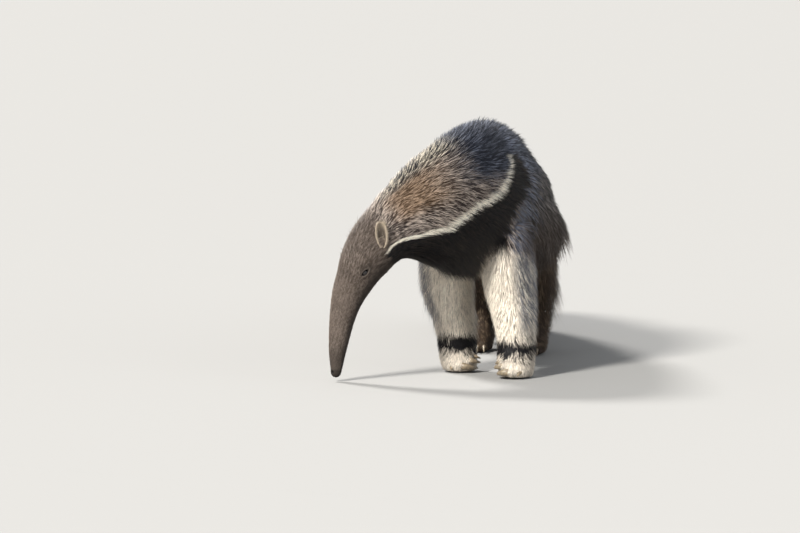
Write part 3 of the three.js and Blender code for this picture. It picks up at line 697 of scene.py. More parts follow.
class SkinRoots:
    """Random places spread evenly over a skin, with its normals and its unwrap."""

    def __init__(self, piece):
        mesh = piece.data
        mesh.calc_loop_triangles()
        n = len(mesh.loop_triangles)
        self.tri = np.empty(n * 3, np.int64)
        mesh.loop_triangles.foreach_get("vertices", self.tri)
        self.tri = self.tri.reshape(-1, 3)
        loops = np.empty(n * 3, np.int64)
        mesh.loop_triangles.foreach_get("loops", loops)
        self.loops = loops.reshape(-1, 3)
        self.co = positions(mesh)
        self.normal = normals_of(mesh)
        uv = np.empty(len(mesh.loops) * 2)
        mesh.uv_layers["OFBake"].data.foreach_get("uv", uv)
        self.uv = uv.reshape(-1, 2)
        a, b, c = (self.co[self.tri[:, k]] for k in range(3))
        self.area = np.linalg.norm(np.cross(b - a, c - a), axis=-1) / 2

    def draw(self, weight, per_cm2):
        """Roots drawn where weight, given for each triangle's middle, is above nothing."""
        chance = self.area * weight * per_cm2 * 1e4
        count = RNG.poisson(chance)
        face = np.repeat(np.arange(len(chance)), count)
        u, v = RNG.random(len(face)), RNG.random(len(face))
        flip = u + v > 1
        u, v = np.where(flip, 1 - u, u), np.where(flip, 1 - v, v)
        w = np.stack([1 - u - v, u, v], axis=-1)[..., None]
        point = (self.co[self.tri[face]] * w).sum(axis=1)
        normal = unit((self.normal[self.tri[face]] * w).sum(axis=1))
        uv = (self.uv[self.loops[face]] * w).sum(axis=1)
        return point, normal, uv

    def middles(self):
        return self.co[self.tri].mean(axis=1)


# Materials


def node_material(name):
    found = bpy.data.materials.get(name)
    if found:
        return found, None, None
    material = bpy.data.materials.new(name)
    material.use_nodes = True
    nodes = material.node_tree.nodes
    return material, nodes, material.node_tree.links


def fur_material(name, rough, sheen):
    """Hair coloured by its own layer, a little uneven, with a soft shine."""
    material, nodes, links = node_material(name)
    if nodes is None:
        return material
    shader = nodes["Principled BSDF"]
    layer = nodes.new("ShaderNodeAttribute")
    layer.attribute_name = "coat_colour"
    place = nodes.new("ShaderNodeTexCoord")
    noise = nodes.new("ShaderNodeTexNoise")
    noise.inputs["Scale"].default_value = 130
    noise.inputs["Detail"].default_value = 2
    spread = nodes.new("ShaderNodeMapRange")
    spread.inputs["To Min"].default_value = 0.82
    spread.inputs["To Max"].default_value = 1.18
    tint = nodes.new("ShaderNodeMix")
    tint.data_type = "RGBA"
    tint.blend_type = "MULTIPLY"
    tint.inputs["Factor"].default_value = 1
    links.new(place.outputs["Object"], noise.inputs["Vector"])
    links.new(noise.outputs["Fac"], spread.inputs["Value"])
    links.new(layer.outputs["Color"], tint.inputs["A"])
    links.new(spread.outputs["Result"], tint.inputs["B"])
    links.new(tint.outputs["Result"], shader.inputs["Base Color"])
    shader.inputs["Roughness"].default_value = rough
    shader.inputs["Specular IOR Level"].default_value = 0.25
    shader.inputs["Sheen Weight"].default_value = sheen
    shader.inputs["Sheen Roughness"].default_value = 0.4
    return material


def skin_material(name):
    """Short flat hair on skin: the coat's colour broken by fine streaks, with a bump."""
    material, nodes, links = node_material(name)
    if nodes is None:
        return material
    shader = nodes["Principled BSDF"]
    layer = nodes.new("ShaderNodeAttribute")
    layer.attribute_name = "coat_colour"
    place = nodes.new("ShaderNodeTexCoord")
    fine = nodes.new("ShaderNodeTexNoise")
    fine.inputs["Scale"].default_value = 700
    fine.inputs["Detail"].default_value = 4
    spread = nodes.new("ShaderNodeMapRange")
    spread.inputs["To Min"].default_value = 0.6
    spread.inputs["To Max"].default_value = 1.3
    tint = nodes.new("ShaderNodeMix")
    tint.data_type = "RGBA"
    tint.blend_type = "MULTIPLY"
    tint.inputs["Factor"].default_value = 1
    bump = nodes.new("ShaderNodeBump")
    bump.inputs["Strength"].default_value = 0.55
    bump.inputs["Distance"].default_value = 0.0012
    links.new(place.outputs["Object"], fine.inputs["Vector"])
    links.new(fine.outputs["Fac"], spread.inputs["Value"])
    links.new(layer.outputs["Color"], tint.inputs["A"])
    links.new(spread.outputs["Result"], tint.inputs["B"])
    links.new(tint.outputs["Result"], shader.inputs["Base Color"])
    links.new(fine.outputs["Fac"], bump.inputs["Height"])
    links.new(bump.outputs["Normal"], shader.inputs["Normal"])
    shader.inputs["Roughness"].default_value = 0.75
    shader.inputs["Specular IOR Level"].default_value = 0.3
    return material


def eye_material(colour):
    """A dark, wet eye: its colour mottled by fine noise, under a glossy coat."""
    material, nodes, links = node_material("wet_dark_eye")
    if nodes is None:
        return material
    shader = nodes["Principled BSDF"]
    place = nodes.new("ShaderNodeTexCoord")
    noise = nodes.new("ShaderNodeTexNoise")
    noise.inputs["Scale"].default_value = 400
    ramp = nodes.new("ShaderNodeValToRGB")
    ramp.color_ramp.elements[0].color = (*[c * 0.4 for c in colour], 1)
    ramp.color_ramp.elements[1].color = (*[c * 1.6 for c in colour], 1)
    links.new(place.outputs["Object"], noise.inputs["Vector"])
    links.new(noise.outputs["Fac"], ramp.inputs["Fac"])
    links.new(ramp.outputs["Color"], shader.inputs["Base Color"])
    shader.inputs["Roughness"].default_value = 0.14
    shader.inputs["Coat Weight"].default_value = 0.35
    shader.inputs["Coat Roughness"].default_value = 0.03
    return material


def horn_material(colour):
    """Worn horn: mottled by noise from a darker tone of its colour to the colour itself, with a bump."""
    material, nodes, links = node_material("worn_claw_horn")
    if nodes is None:
        return material
    shader = nodes["Principled BSDF"]
    place = nodes.new("ShaderNodeTexCoord")
    noise = nodes.new("ShaderNodeTexNoise")
    noise.inputs["Scale"].default_value = 160
    noise.inputs["Detail"].default_value = 5
    ramp = nodes.new("ShaderNodeValToRGB")
    ramp.color_ramp.elements[0].position = 0.3
    ramp.color_ramp.elements[0].color = (*[c * 0.35 for c in colour], 1)
    ramp.color_ramp.elements[1].position = 0.7
    ramp.color_ramp.elements[1].color = (*colour, 1)
    bump = nodes.new("ShaderNodeBump")
    bump.inputs["Strength"].default_value = 0.3
    bump.inputs["Distance"].default_value = 0.0008
    links.new(place.outputs["Object"], noise.inputs["Vector"])
    links.new(noise.outputs["Fac"], ramp.inputs["Fac"])
    links.new(ramp.outputs["Color"], shader.inputs["Base Color"])
    links.new(noise.outputs["Fac"], bump.inputs["Height"])
    links.new(bump.outputs["Normal"], shader.inputs["Normal"])
    shader.inputs["Roughness"].default_value = 0.42
    return material


# Settings a user would change


def colour_setting(label, about, default):
    return FloatVectorProperty(
        name=label, description=about, subtype="COLOR", size=3, min=0, max=1, default=tuple(float(c) for c in default)
    )


class AnteaterColours(bpy.types.PropertyGroup):
    head_dark: colour_setting("Head, dark", "Hair roots on the head", srgb(57, 49, 43))
    head_light: colour_setting("Head, light", "Grizzled hair tips on the head", srgb(116, 104, 95))
    neck_dark: colour_setting("Neck, dark", "Hair roots on the neck and shoulder", srgb(44, 37, 35))
    neck_light: colour_setting("Neck, light", "Hair tips on the neck and shoulder", srgb(196, 181, 168))
    neck_brown: colour_setting("Nape", "Warm brown hair of the nape", srgb(120, 91, 60))
    crest_dark: colour_setting("Crest, dark", "Dark hair of the crest", srgb(20, 18, 19))
    # Pale crest tips: partly the hair's own grizzle, partly painted backlight
    crest_light: colour_setting("Crest, light", "Pale hair tips of the crest", srgb(226, 214, 192))
    # The hump's blue tint is a painted sky reflection on black hair
    hump: colour_setting("Shoulder hump", "Blue-black hair over the shoulders", srgb(25, 29, 41))
    band: colour_setting("Band", "Black band from throat to shoulder", srgb(13, 11, 13))
    stripe: colour_setting("Stripe", "White stripe before the band", srgb(250, 241, 224))
    # Pale hair behind the band, painted as in bluish shade; the same colour gives painted highlight strands on the
    # hump, painted sheen behind the band and painted shade on the forelegs' outer sides
    rear_edge: colour_setting("Rear edge", "Pale hair behind the band", srgb(126, 132, 148))
    flank_dark: colour_setting("Flank, dark", "Dark hair of the flank", srgb(22, 20, 20))
    flank_light: colour_setting("Flank, light", "Light hairs of the flank", srgb(124, 118, 116))
    fore_leg: colour_setting("Forelegs", "Cream hair of the forelegs", srgb(248, 236, 219))
    hind_leg: colour_setting("Hind legs", "Dark brown hair of the hind legs", srgb(58, 46, 36))
    tail_dark: colour_setting("Tail, dark", "Dark hair of the tail", srgb(34, 28, 23))
    tail_light: colour_setting("Tail, light", "Light hair of the tail", srgb(128, 110, 90))
    ear: colour_setting("Ears", "Pale hair and skin of the ears", srgb(172, 158, 140))
    eye: colour_setting("Eyes", "Dark brown of the eyes", srgb(16, 11, 9))
    claw: colour_setting("Claws", "Horn of the claws", srgb(150, 135, 112))
    floor: colour_setting("Floor", "Pale floor", srgb(148, 147, 145))


class AnteaterSizes(bpy.types.PropertyGroup):
    skin_voxel: FloatProperty(name="Skin mesh", description="Grid size of the skin", default=0.0058, unit="LENGTH")
    coat_density: FloatProperty(name="Coat density", description="Share of the full number of tufts", default=1.0)
    camera_lens: FloatProperty(name="Lens", description="Focal length in millimetres", default=396.0)
    camera_distance: FloatProperty(name="Distance", description="Camera to animal", default=22.0, unit="LENGTH")
    key_light: FloatProperty(name="Main light", description="Strength of the main light", default=6.1)
    smoothing: IntProperty(name="Smoothing", description="Rounds of smoothing of the skin", default=5)


def palette_of(context):
    colours = context.scene.anteater_colours
    return {key: np.array(getattr(colours, key)) for key in AnteaterColours.__annotations__}


# Pieces


def eye_frame(side):
    turn = math.radians(EYE["turn"]) if side > 0 else math.pi - math.radians(EYE["turn"])
    s = np.array(EYE["s"])
    depth = coat_depth(s[None], np.array([turn]))[0]
    surface = body_point(s, turn, depth)
    out = unit(surface - spine_frame(s)[0])
    centre = surface - out * EYE["sunk"]
    _, tails, back, _ = spine_frame(s)
    tilt = math.radians(EYE["tilt"])
    first = tails * math.cos(tilt) + back * math.sin(tilt) * 0.6
    third = out
    first = unit(first - third * (first * third).sum())
    return centre, np.array([first, np.cross(third, first), third])


def nostril_place(side, lift=0.5):
    turn = math.radians(48) if side > 0 else math.pi - math.radians(48)
    return body_point(np.array(1.5), turn, lift)


def muzzle_end(mm):
    """Points brought on to the muzzle's rounded end, and which of them lie ahead of the first section."""
    middle, tails, back, left = spine_frame(np.array(0.0))
    axes = np.array([left, back, -tails])
    local = (mm - middle) @ axes.T
    halves = np.array([13.5, 12.5, 12.0])
    far = np.linalg.norm(local / halves, axis=1, keepdims=True)
    return middle + (local / np.maximum(far, 1e-6)) @ axes, (local[:, 2] > 0) & (far[:, 0] < 2)


class ANTEATER_OT_skin(bpy.types.Operator):
    """One skin for the head, neck, body, tail, legs and feet"""

    bl_idname = "anteater.skin"
    bl_label = "Skin"

    def execute(self, context):
        sizes = context.scene.anteater_sizes
        turns = np.linspace(0, 2 * math.pi, 32, endpoint=False)
        stops = np.concatenate([np.arange(2, 420, 8.0), np.arange(420, SPINE_AT[-1] - 60, 16.0)])
        s, t = np.meshgrid(stops, turns, indexing="ij")
        lift = skin_lift(coat_depth(s, t)) + 0.5 * np.minimum(coat_depth(s, t), 6)
        rings = to_metres(body_point(s, t, lift))
        end = to_metres(spine_frame(np.array(0.0))[0] - spine_frame(np.array(0.0))[1] * 9)
        parts = [tube("spine_skin", rings, (end, rings[-1].mean(axis=0)))]
        for name, (sections, _, xs, ys, outer, _) in LEGS.items():
            heights = np.concatenate([[1.0, 4.0, 9.0], np.arange(18, sections[-1, 0] - 20, 12.0)])
            z, t = np.meshgrid(heights, np.linspace(0, 2 * math.pi, 24, endpoint=False), indexing="ij")
            parts.append(tube(f"{name}_skin", to_metres(leg_point(name, z, t, 1.0))))
            axes = np.eye(3)
            if name.startswith("fore"):
                for across, ahead, height, _, width, _ in FORE_TOES:
                    centre = (xs[0] - outer * across, ys[0] - ahead, height)
                    parts.append(blob("toe", centre, axes, (width * 0.8, width * 1.05, 11.5)))
            else:
                for across in HIND_TOES:
                    centre = (xs[0] + across * 42, ys[0] - 94 + abs(across) * 18, 16)
                    parts.append(blob("toe", centre, axes, (8.5, 14, 13)))
        skin = joined("anteater_skin", parts)
        apply_modifier(skin, "REMESH", mode="VOXEL", voxel_size=sizes.skin_voxel)
        apply_modifier(skin, "SMOOTH", factor=0.5, iterations=sizes.smoothing)

        # finer faces on the head, and finer still round the eyes and the muzzle's end
        for finer in range(3):
            only(skin)
            mesh = skin.data
            centres = np.empty(len(mesh.polygons) * 3)
            mesh.polygons.foreach_get("center", centres)
            mm = to_millimetres(centres.reshape(-1, 3))
            if finer == 0:
                place, _, _ = spine_place(mm)
                chosen = (place < 372) & (mm[:, 1] < -150) & (mm[:, 0] < -150)
            else:
                chosen = np.zeros(len(mm), bool)
                for side in (1, -1):
                    reach = 32 if finer == 1 else 15
                    chosen |= np.linalg.norm(mm - eye_frame(side)[0], axis=1) < reach
                if finer == 1:
                    chosen |= (mm[:, 2] < 62) & (mm[:, 1] < -200) & (mm[:, 0] < -300)
            bpy.ops.object.mode_set(mode="EDIT")
            bpy.ops.mesh.select_all(action="DESELECT")
            bpy.ops.object.mode_set(mode="OBJECT")
            mesh.polygons.foreach_set("select", chosen)
            mesh.vertices.foreach_set("select", np.zeros(len(mesh.vertices), bool))
            bpy.ops.object.mode_set(mode="EDIT")
            bpy.ops.mesh.select_mode(type="FACE")
            bpy.ops.mesh.subdivide(number_cuts=1, smoothness=0.0)
            bpy.ops.object.mode_set(mode="OBJECT")

        # the head follows its own sections exactly
        mesh = skin.data
        mm = to_millimetres(positions(mesh))
        s, turn, _ = spine_place(mm)
        on_head = (s < 372) & (mm[:, 1] < -150) & (mm[:, 0] < -150)
        lift = skin_lift(coat_depth(s, turn)) + 0.5 * np.minimum(coat_depth(s, turn), 6)
        weight = on_head * (1 - smoothstep(330, 372, s))
        rounded, ahead = muzzle_end(mm)
        mm = mm + (body_point(s, turn, lift) - mm) * weight[:, None]
        mm[ahead & on_head] = rounded[ahead & on_head]
        normal = unit(mm - spine_frame(s)[0])
        for side in (1, -1):
            centre, axes = eye_frame(side)
            local = (mm - centre) @ axes.T
            away = np.hypot(local[:, 0] / EYE["along"], local[:, 1] / EYE["across"])
            dorsal = smoothstep(-0.4, 0.5, side * local[:, 1] / 8)
            near = (np.linalg.norm(mm - centre, axis=1) < 48) & (local[:, 2] > -14)
            lid = (4.4 + 1.4 * dorsal) * np.exp(-(((away - 1.35) / 0.5) ** 2))
            open_eye = -7.0 * (1 - smoothstep(0.6, 1.0, away))
            folds = sum(1.1 * np.exp(-(((away - at) / 0.2) ** 2)) for at in (2.3, 3.1, 4.0))
            grooves = sum(0.9 * np.exp(-(((away - at) / 0.2) ** 2)) for at in (1.95, 2.7, 3.55))
            corner = -2.0 * np.exp(-(((local[:, 0] + 12.5) / 4.5) ** 2) - (local[:, 1] / 2.2) ** 2)
            shape = lid + open_eye + (folds - grooves) * (0.3 + 0.7 * dorsal) + corner
            mm = mm + normal * (near * shape)[:, None]
            # nostril
            d = np.linalg.norm((mm - nostril_place(side)) / np.array([1, 1, 1.5]), axis=1)
            mm = mm - normal * (4.6 * np.exp(-((d / 2.6) ** 2)) - 1.1 * np.exp(-(((d - 4.6) / 1.6) ** 2)))[:, None]
        # mouth line with its lips, at the muzzle's end
        rise = np.degrees(np.arcsin(np.clip(np.sin(turn), -1, 1)))
        line = (rise + 50) / 9
        there = smoothstep(1, 6, s) * (1 - smoothstep(20, 32, s)) * (mm[:, 1] < -200)
        mm = mm - normal * (there * (2.4 * np.exp(-((line * 1.7) ** 2)) - 0.9 * np.exp(-((line - 1.6) ** 2))))[:, None]
        mm[:, 2] = np.maximum(mm[:, 2], 0.6)
        set_positions(mesh, to_metres(mm))
        smooth_shade(skin)
        unwrap(skin)
        at = Places(to_millimetres(positions(mesh)))
        spread = np.random.default_rng(5).random((len(mesh.vertices), 3))
        palette = palette_of(context)
        root, tip = colours_at(at, palette, spread)
        short = 1 - smoothstep(230, 330, at.s)
        colours = mix(root, tip, 0.15 + 0.35 * short) * (1 - 0.32 * at.leg * at.fore)[:, None]
        bare_skin = palette["head_dark"] * 0.55 * np.ones_like(colours)
        colours = mix(colours, bare_skin, 1 - smoothstep(5, 11, at.p[:, 2]))
        muzzle = (1 - smoothstep(5, 12, at.s)) * (at.p[:, 1] < -200)
        colours = mix(colours, bare_skin, muzzle)
        # the mouth slit painted near black: painted shade in the slit
        lips = (1 - smoothstep(22, 32, at.s)) * (at.p[:, 1] < -200) * np.exp(-(((at.rise + 50) / 6) ** 2))
        colours = mix(colours, bare_skin * 0.2, lips)
        for side in (1, -1):
            centre, axes = eye_frame(side)
            local = (at.p - centre) @ axes.T
            away = np.hypot(local[:, 0] / EYE["along"], local[:, 1] / EYE["across"])
            near = np.linalg.norm(at.p - centre, axis=1) < 40
            ventral = 1 - smoothstep(-0.4, 0.3, side * local[:, 1] / 6)
            bare = near * (1 - smoothstep(1.5, 2.6, away))
            colours = mix(colours, palette["head_dark"] * 0.75 * np.ones_like(colours), bare * 0.8)
            rim = near * np.exp(-(((away - 1.55) / 0.35) ** 2)) * ventral
            colours = mix(colours, palette["head_light"] * np.ones_like(colours), rim * 0.8)
            # the nostrils painted near black: painted shade in their hollows
            away_nostril = np.linalg.norm((at.p - nostril_place(side, -1.8)) / np.array([1, 1, 1.3]), axis=1)
            colours = mix(colours, bare_skin * 0.12, 1 - smoothstep(2.9, 4.2, away_nostril))
            # the skin in the eye's opening painted near black: painted shade round the eyeball
            dark = near * (1 - smoothstep(0.95, 1.3, away))
            colours = mix(colours, np.array([0.010, 0.008, 0.007]) * np.ones_like(colours), dark)
        colour_layer(mesh, colours)
        skin.data.materials.clear()
        skin.data.materials.append(skin_material("skin_under_hair"))
        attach(skin, BODY)
        flesh = ["head", "neck", "chest", "trunk", "rump", "tail_base", "tail_half", "tail_end"]
        feet = [name.replace("leg", "foot") for name in LEGS]
        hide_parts(*flesh, *LEGS, *feet)
        return {"FINISHED"}


SKIN = {}


def draw_coat(name, choose, density, look, context):
    """Tufts over the part of the skin that choose gives a weight to, so many to the square centimetre."""
    if not SKIN:
        SKIN["roots"] = SkinRoots(bpy.data.objects["anteater_skin"])
        SKIN["places"] = Places(to_millimetres(SKIN["roots"].middles()))
    weight = choose(SKIN["places"])
    point, normal, uv = SKIN["roots"].draw(weight, density * context.scene.anteater_sizes.coat_density)
    mm = to_millimetres(point)
    clear = np.ones(len(mm), bool)
    for side in (1, -1):
        centre, axes = eye_frame(side)
        local = (mm - centre) @ axes.T
        clear &= (np.linalg.norm(mm - centre, axis=1) > 30) | (np.hypot(local[:, 0] / 15, local[:, 1] / 9.5) > 1.0)
    point, normal, uv = point[clear], normal[clear], uv[clear]
    return coat_pieces(name, point, normal, uv, Places(mm[clear]), look, palette_of(context))


class ANTEATER_OT_head_coat(bpy.types.Operator):
    """Short hair of the head, smallest at the muzzle"""

    bl_idname = "anteater.head_coat"
    bl_label = "Head coat"

    def execute(self, context):
        base = {"long": False, "jitter": 0.16, "low": 0.35, "high": 0.75, "least": 0.8, "clump": 0, "clump_size": 0}
        base |= {"hang": 0.0, "rough": 0.55, "sheen": 0.02, "slot": "head_fur", "tip_from": 0.75, "marked": True}
        front = base | {"width": 1.0, "extra": 3.2}
        draw_coat("face_hair", lambda a: smoothstep(8, 40, a.s) * (a.s < 262), 36, front, context)
        rear = base | {"width": 1.3, "extra": 5.5}
        draw_coat("brow_hair", lambda a: (a.s >= 262) & (a.s < 385), 27, rear, context)
        return {"FINISHED"}


class ANTEATER_OT_neck_coat(bpy.types.Operator):
    """Grizzled hair of the neck and shoulders, with the band and stripe"""

    bl_idname = "anteater.neck_coat"
    bl_label = "Neck coat"

    def execute(self, context):
        look = {"long": False, "jitter": 0.16, "low": 0.6, "high": 1.05, "least": 2, "clump": 0.25, "clump_size": 8}
        look |= {"hang": 0.1, "rough": 0.58, "sheen": 0.02, "slot": "neck_fur", "tip_from": 0.75, "marked": True}
        look |= {"width": 1.7, "extra": 7.0}
        draw_coat("neck_hair", lambda a: (a.s >= 385) & (a.s < 700) & (a.leg < 0.5), 15, look, context)
        return {"FINISHED"}


class ANTEATER_OT_body_coat(bpy.types.Operator):
    """Long, coarse hair of the back, flanks and belly"""

    bl_idname = "anteater.body_coat"
    bl_label = "Body coat"

    def execute(self, context):
        look = {"long": True, "jitter": 0.2, "low": 0.65, "high": 1.22, "least": 4, "clump": 0.5, "clump_size": 15}
        look |= {"hang": 0.2, "rough": 0.56, "sheen": 0.02, "slot": "body_fur", "tip_from": 0.7, "marked": True}
        look |= {"width": 2.5, "extra": 14.0}
        draw_coat("flank_hair", lambda a: (a.s >= 700) & (a.s < 1383) & (a.leg < 0.5), 6.6, look, context)
        crest = look | {"width": 1.9, "low": 0.7, "high": 1.08, "extra": 4.0, "clump": 0.45, "clump_size": 16}
        crest["tip_from"] = 1.15
        along_back = lambda a: ((a.s > 400) & (a.s < 1383)) * smoothstep(66, 80, a.rise)
        draw_coat("crest_hair", along_back, 10, crest, context)
        return {"FINISHED"}


class ANTEATER_OT_leg_coat(bpy.types.Operator):
    """Hair of the legs and feet"""

    bl_idname = "anteater.leg_coat"
    bl_label = "Leg coat"

    def execute(self, context):
        look = {"long": False, "jitter": 0.2, "low": 0.5, "high": 1.05, "least": 1.0, "clump": 0.12, "clump_size": 7}
        look |= {"hang": 0.1, "rough": 0.58, "sheen": 0.02, "slot": "foreleg_fur", "tip_from": 0.6, "marked": True}
        look |= {"width": 1.5, "extra": 6.0, "even": 0.7}
        draw_coat("foreleg_hair", lambda a: (a.leg >= 0.5) & (a.fore > 0.5) & (a.p[:, 2] > 6), 14, look, context)
        look["slot"] = "hindleg_fur"
        draw_coat("hindleg_hair", lambda a: (a.leg >= 0.5) & (a.fore < 0.5) & (a.p[:, 2] > 6), 9, look, context)
        return {"FINISHED"}


class ANTEATER_OT_tail_coat(bpy.types.Operator):
    """Very long, hanging hair of the tail"""

    bl_idname = "anteater.tail_coat"
    bl_label = "Tail coat"

    def execute(self, context):
        look = {"long": True, "jitter": 0.16, "low": 0.35, "high": 1.05, "least": 20, "clump": 0.5, "clump_size": 16}
        look |= {"hang": 0.25, "rough": 0.58, "sheen": 0.02, "slot": "tail_fur", "tip_from": 0.9, "marked": True}
        look |= {"width": 3.4, "extra": 14.0}
        draw_coat("tail_hair", lambda a: (a.s >= 1383) & (a.leg < 0.5), 6.5, look, context)
        return {"FINISHED"}


class ANTEATER_OT_eyes(bpy.types.Operator):
    """Small, dark, wet eyes"""

    bl_idname = "anteater.eyes"
    bl_label = "Eyes"

    def execute(self, context):
        colour = tuple(context.scene.anteater_colours.eye)
        for side, word in ((1, "left"), (-1, "right")):
            centre, axes = eye_frame(side)
            ball = blob(f"eyeball_{word}", centre, axes, (8.0, 8.0, 8.2), 32)
            smooth_shade(ball)
            ball.data.materials.append(eye_material(colour))
            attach(ball, BODY)
            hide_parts(f"eye_{word}")
        return {"FINISHED"}


class ANTEATER_OT_ears(bpy.types.Operator):
    """Small rounded ears, cupped, with short pale hair"""

    bl_idname = "anteater.ears"
    bl_label = "Ears"

    def execute(self, context):
        palette = palette_of(context)
        for side, word in ((1, "left"), (-1, "right")):
            turn = math.radians(EAR["turn"]) if side > 0 else math.pi - math.radians(EAR["turn"])
            s = np.array(EAR["s"])
            middle, tails, back, _ = spine_frame(s)
            root = body_point(s, turn, coat_depth(s[None], np.array([turn]))[0])
            out = unit(root - middle)
            up = unit(back * 0.72 + tails * 0.62 + out * 0.26)
            face = out - tails * 0.45
            face = unit(face - up * (face * up).sum())
            across = np.cross(face, up)
            bpy.ops.object.select_all(action="DESELECT")
            bpy.ops.mesh.primitive_grid_add(x_subdivisions=20, y_subdivisions=28, size=2, location=(0, 0, 0))
            ear = bpy.context.active_object
            ear.name = ear.data.name = f"ear_cup_{word}"
            co = positions(ear.data)
            w, h = co[:, 0], (co[:, 1] + 1) / 2
            half = EAR["width"] / 2 * np.sqrt(np.clip(1 - ((h - 0.52) / 0.53) ** 2, 0.02, 1)) * (0.82 + 0.18 * h)
            along = EAR["height"] * (h * 0.98 - 0.12)
            cup = EAR["depth"] * 0.62 * (np.abs(w) ** 2.6 - 1) * (1 - 0.4 * h) + 3.0 * h**2
            curl = 1 - 0.24 * w**4 * (1 - 0.5 * h)
            place = root + across * (w * half * curl)[:, None] + up * along[:, None] + face * cup[:, None]
            set_positions(ear.data, to_metres(place))
            apply_modifier(ear, "SOLIDIFY", thickness=0.003, offset=0.0)
            apply_modifier(ear, "SUBSURF", levels=1, render_levels=1)
            face_outwards(ear)
            smooth_shade(ear)
            unwrap(ear)
            mm = to_millimetres(positions(ear.data))
            h = ((mm - root) @ up) / EAR["height"]
            depth_in = ((mm - root) @ face) / (EAR["depth"] * 0.55)
            inner = normals_of(ear.data) @ face
            pale = palette["ear"] * np.ones_like(mm)
            dark = palette["head_dark"] * 0.8 * np.ones_like(mm)
            # the cup's inner hollow darker: painted shade
            colours = mix(pale, dark, smoothstep(0.0, 0.5, inner) * (1 - smoothstep(-0.6, 0.1, depth_in)) * 0.92)
            colours = mix(colours, palette["head_dark"] * 1.6 * np.ones_like(mm), (inner < -0.3) * (1 - smoothstep(0.2, 0.9, h)))
            colour_layer(ear.data, colours)
            ear.data.materials.clear()
            ear.data.materials.append(skin_material("ear_skin"))
            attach(ear, BODY)
            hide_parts(f"ear_{word}")
            spots = SkinRoots(ear)
            point, normal, uv = spots.draw(np.ones(len(spots.area)), 26)
            at = Places(to_millimetres(point))
            hair_palette = dict(palette)
            inner = normal @ face
            deep = ((at.p - root) @ face) / (EAR["depth"] * 0.55)
            keep = (inner < 0.2) | (deep > -0.15) | (RNG.random(len(point)) < 0.1)
            point, normal, uv, inner = point[keep], normal[keep], uv[keep], inner[keep]
            for key in ("head_light", "head_dark", "neck_light", "neck_dark", "band", "stripe"):
                hair_palette[key] = palette["ear"] * (0.55 if key.endswith("dark") or key == "band" else 1.0)
            at = Places(to_millimetres(point))
            at.s = np.full(len(point), 300.0)
            at.rise = np.zeros(len(point))
            at.depth = np.full(len(point), 4.0)
            at.leg = np.zeros(len(point))
            look = {"long": False, "jitter": 0.3, "low": 0.3, "high": 0.8, "least": 0.7, "clump": 0, "clump_size": 0}
            look |= {"hang": 0.0, "rough": 0.55, "sheen": 0.02, "slot": "ear_fur", "tip_from": 0.7, "marked": False}
            look |= {"width": 1.1, "extra": 2.4}
            coat_pieces(f"ear_hair_{word}", point, normal, uv, at, look, hair_palette)
        return {"FINISHED"}


class ANTEATER_OT_claws(bpy.types.Operator):
    """Curved claws of all the feet"""

    bl_idname = "anteater.claws"
    bl_label = "Claws"

    def execute(self, context):
        colour = tuple(context.scene.anteater_colours.claw)
        for name, (_, _, xs, ys, outer, _) in LEGS.items():
            end, side = name.split("leg_")
            parts = []
            if end == "fore":
                for across, ahead, height, length, width, curl in FORE_TOES:
                    root = np.array([xs[0] - outer * across, ys[0] - ahead, height], float)
                    forwards = -length * (0.3 + 0.6 * (1 - curl))
                    inwards = -outer * length * curl
                    bend = root + (inwards * 0.46, forwards, -2)
                    tip = root + (inwards * 0.56, forwards + length * 0.8 * curl, -9)
                    parts.append(self.claw(root, bend, tip, width))
            else:
                for across in HIND_TOES:
                    root = np.array([xs[0] + across * 42, ys[0] - 94 + abs(across) * 18, 17], float)
                    parts.append(self.claw(root, root + (across * 4, -26, 3), root + (across * 8, -38, -13), 8))
            claws = joined(f"{end}claws_{side}", parts)
            smooth_shade(claws)
            claws.data.materials.append(horn_material(colour))
            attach(claws, BODY)
            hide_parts(*[f"{end}claw_{side}_{k + 1}" for k in range(len(parts))])
        return {"FINISHED"}

    @staticmethod
    def claw(root, bend, tip, width):
        rings = []
        for t in np.linspace(0, 0.97, 12):
            centre = root * (1 - t) ** 2 + bend * 2 * t * (1 - t) + tip * t * t
            along = unit((bend - root) * (1 - t) + (tip - bend) * t)
            across = unit(np.cross(along, [0, 0, 1.0]))
            deep = unit(np.cross(across, along))
            size = (width / 2) * (1 - t) ** 0.7 + 0.5
            turns = np.linspace(0, 2 * math.pi, 14, endpoint=False)[:, None]
            rings.append(centre + across * size * np.cos(turns) + deep * size * 1.2 * np.sin(turns))
        return tube("claw", to_metres(rings), (to_metres(root), to_metres(tip)))


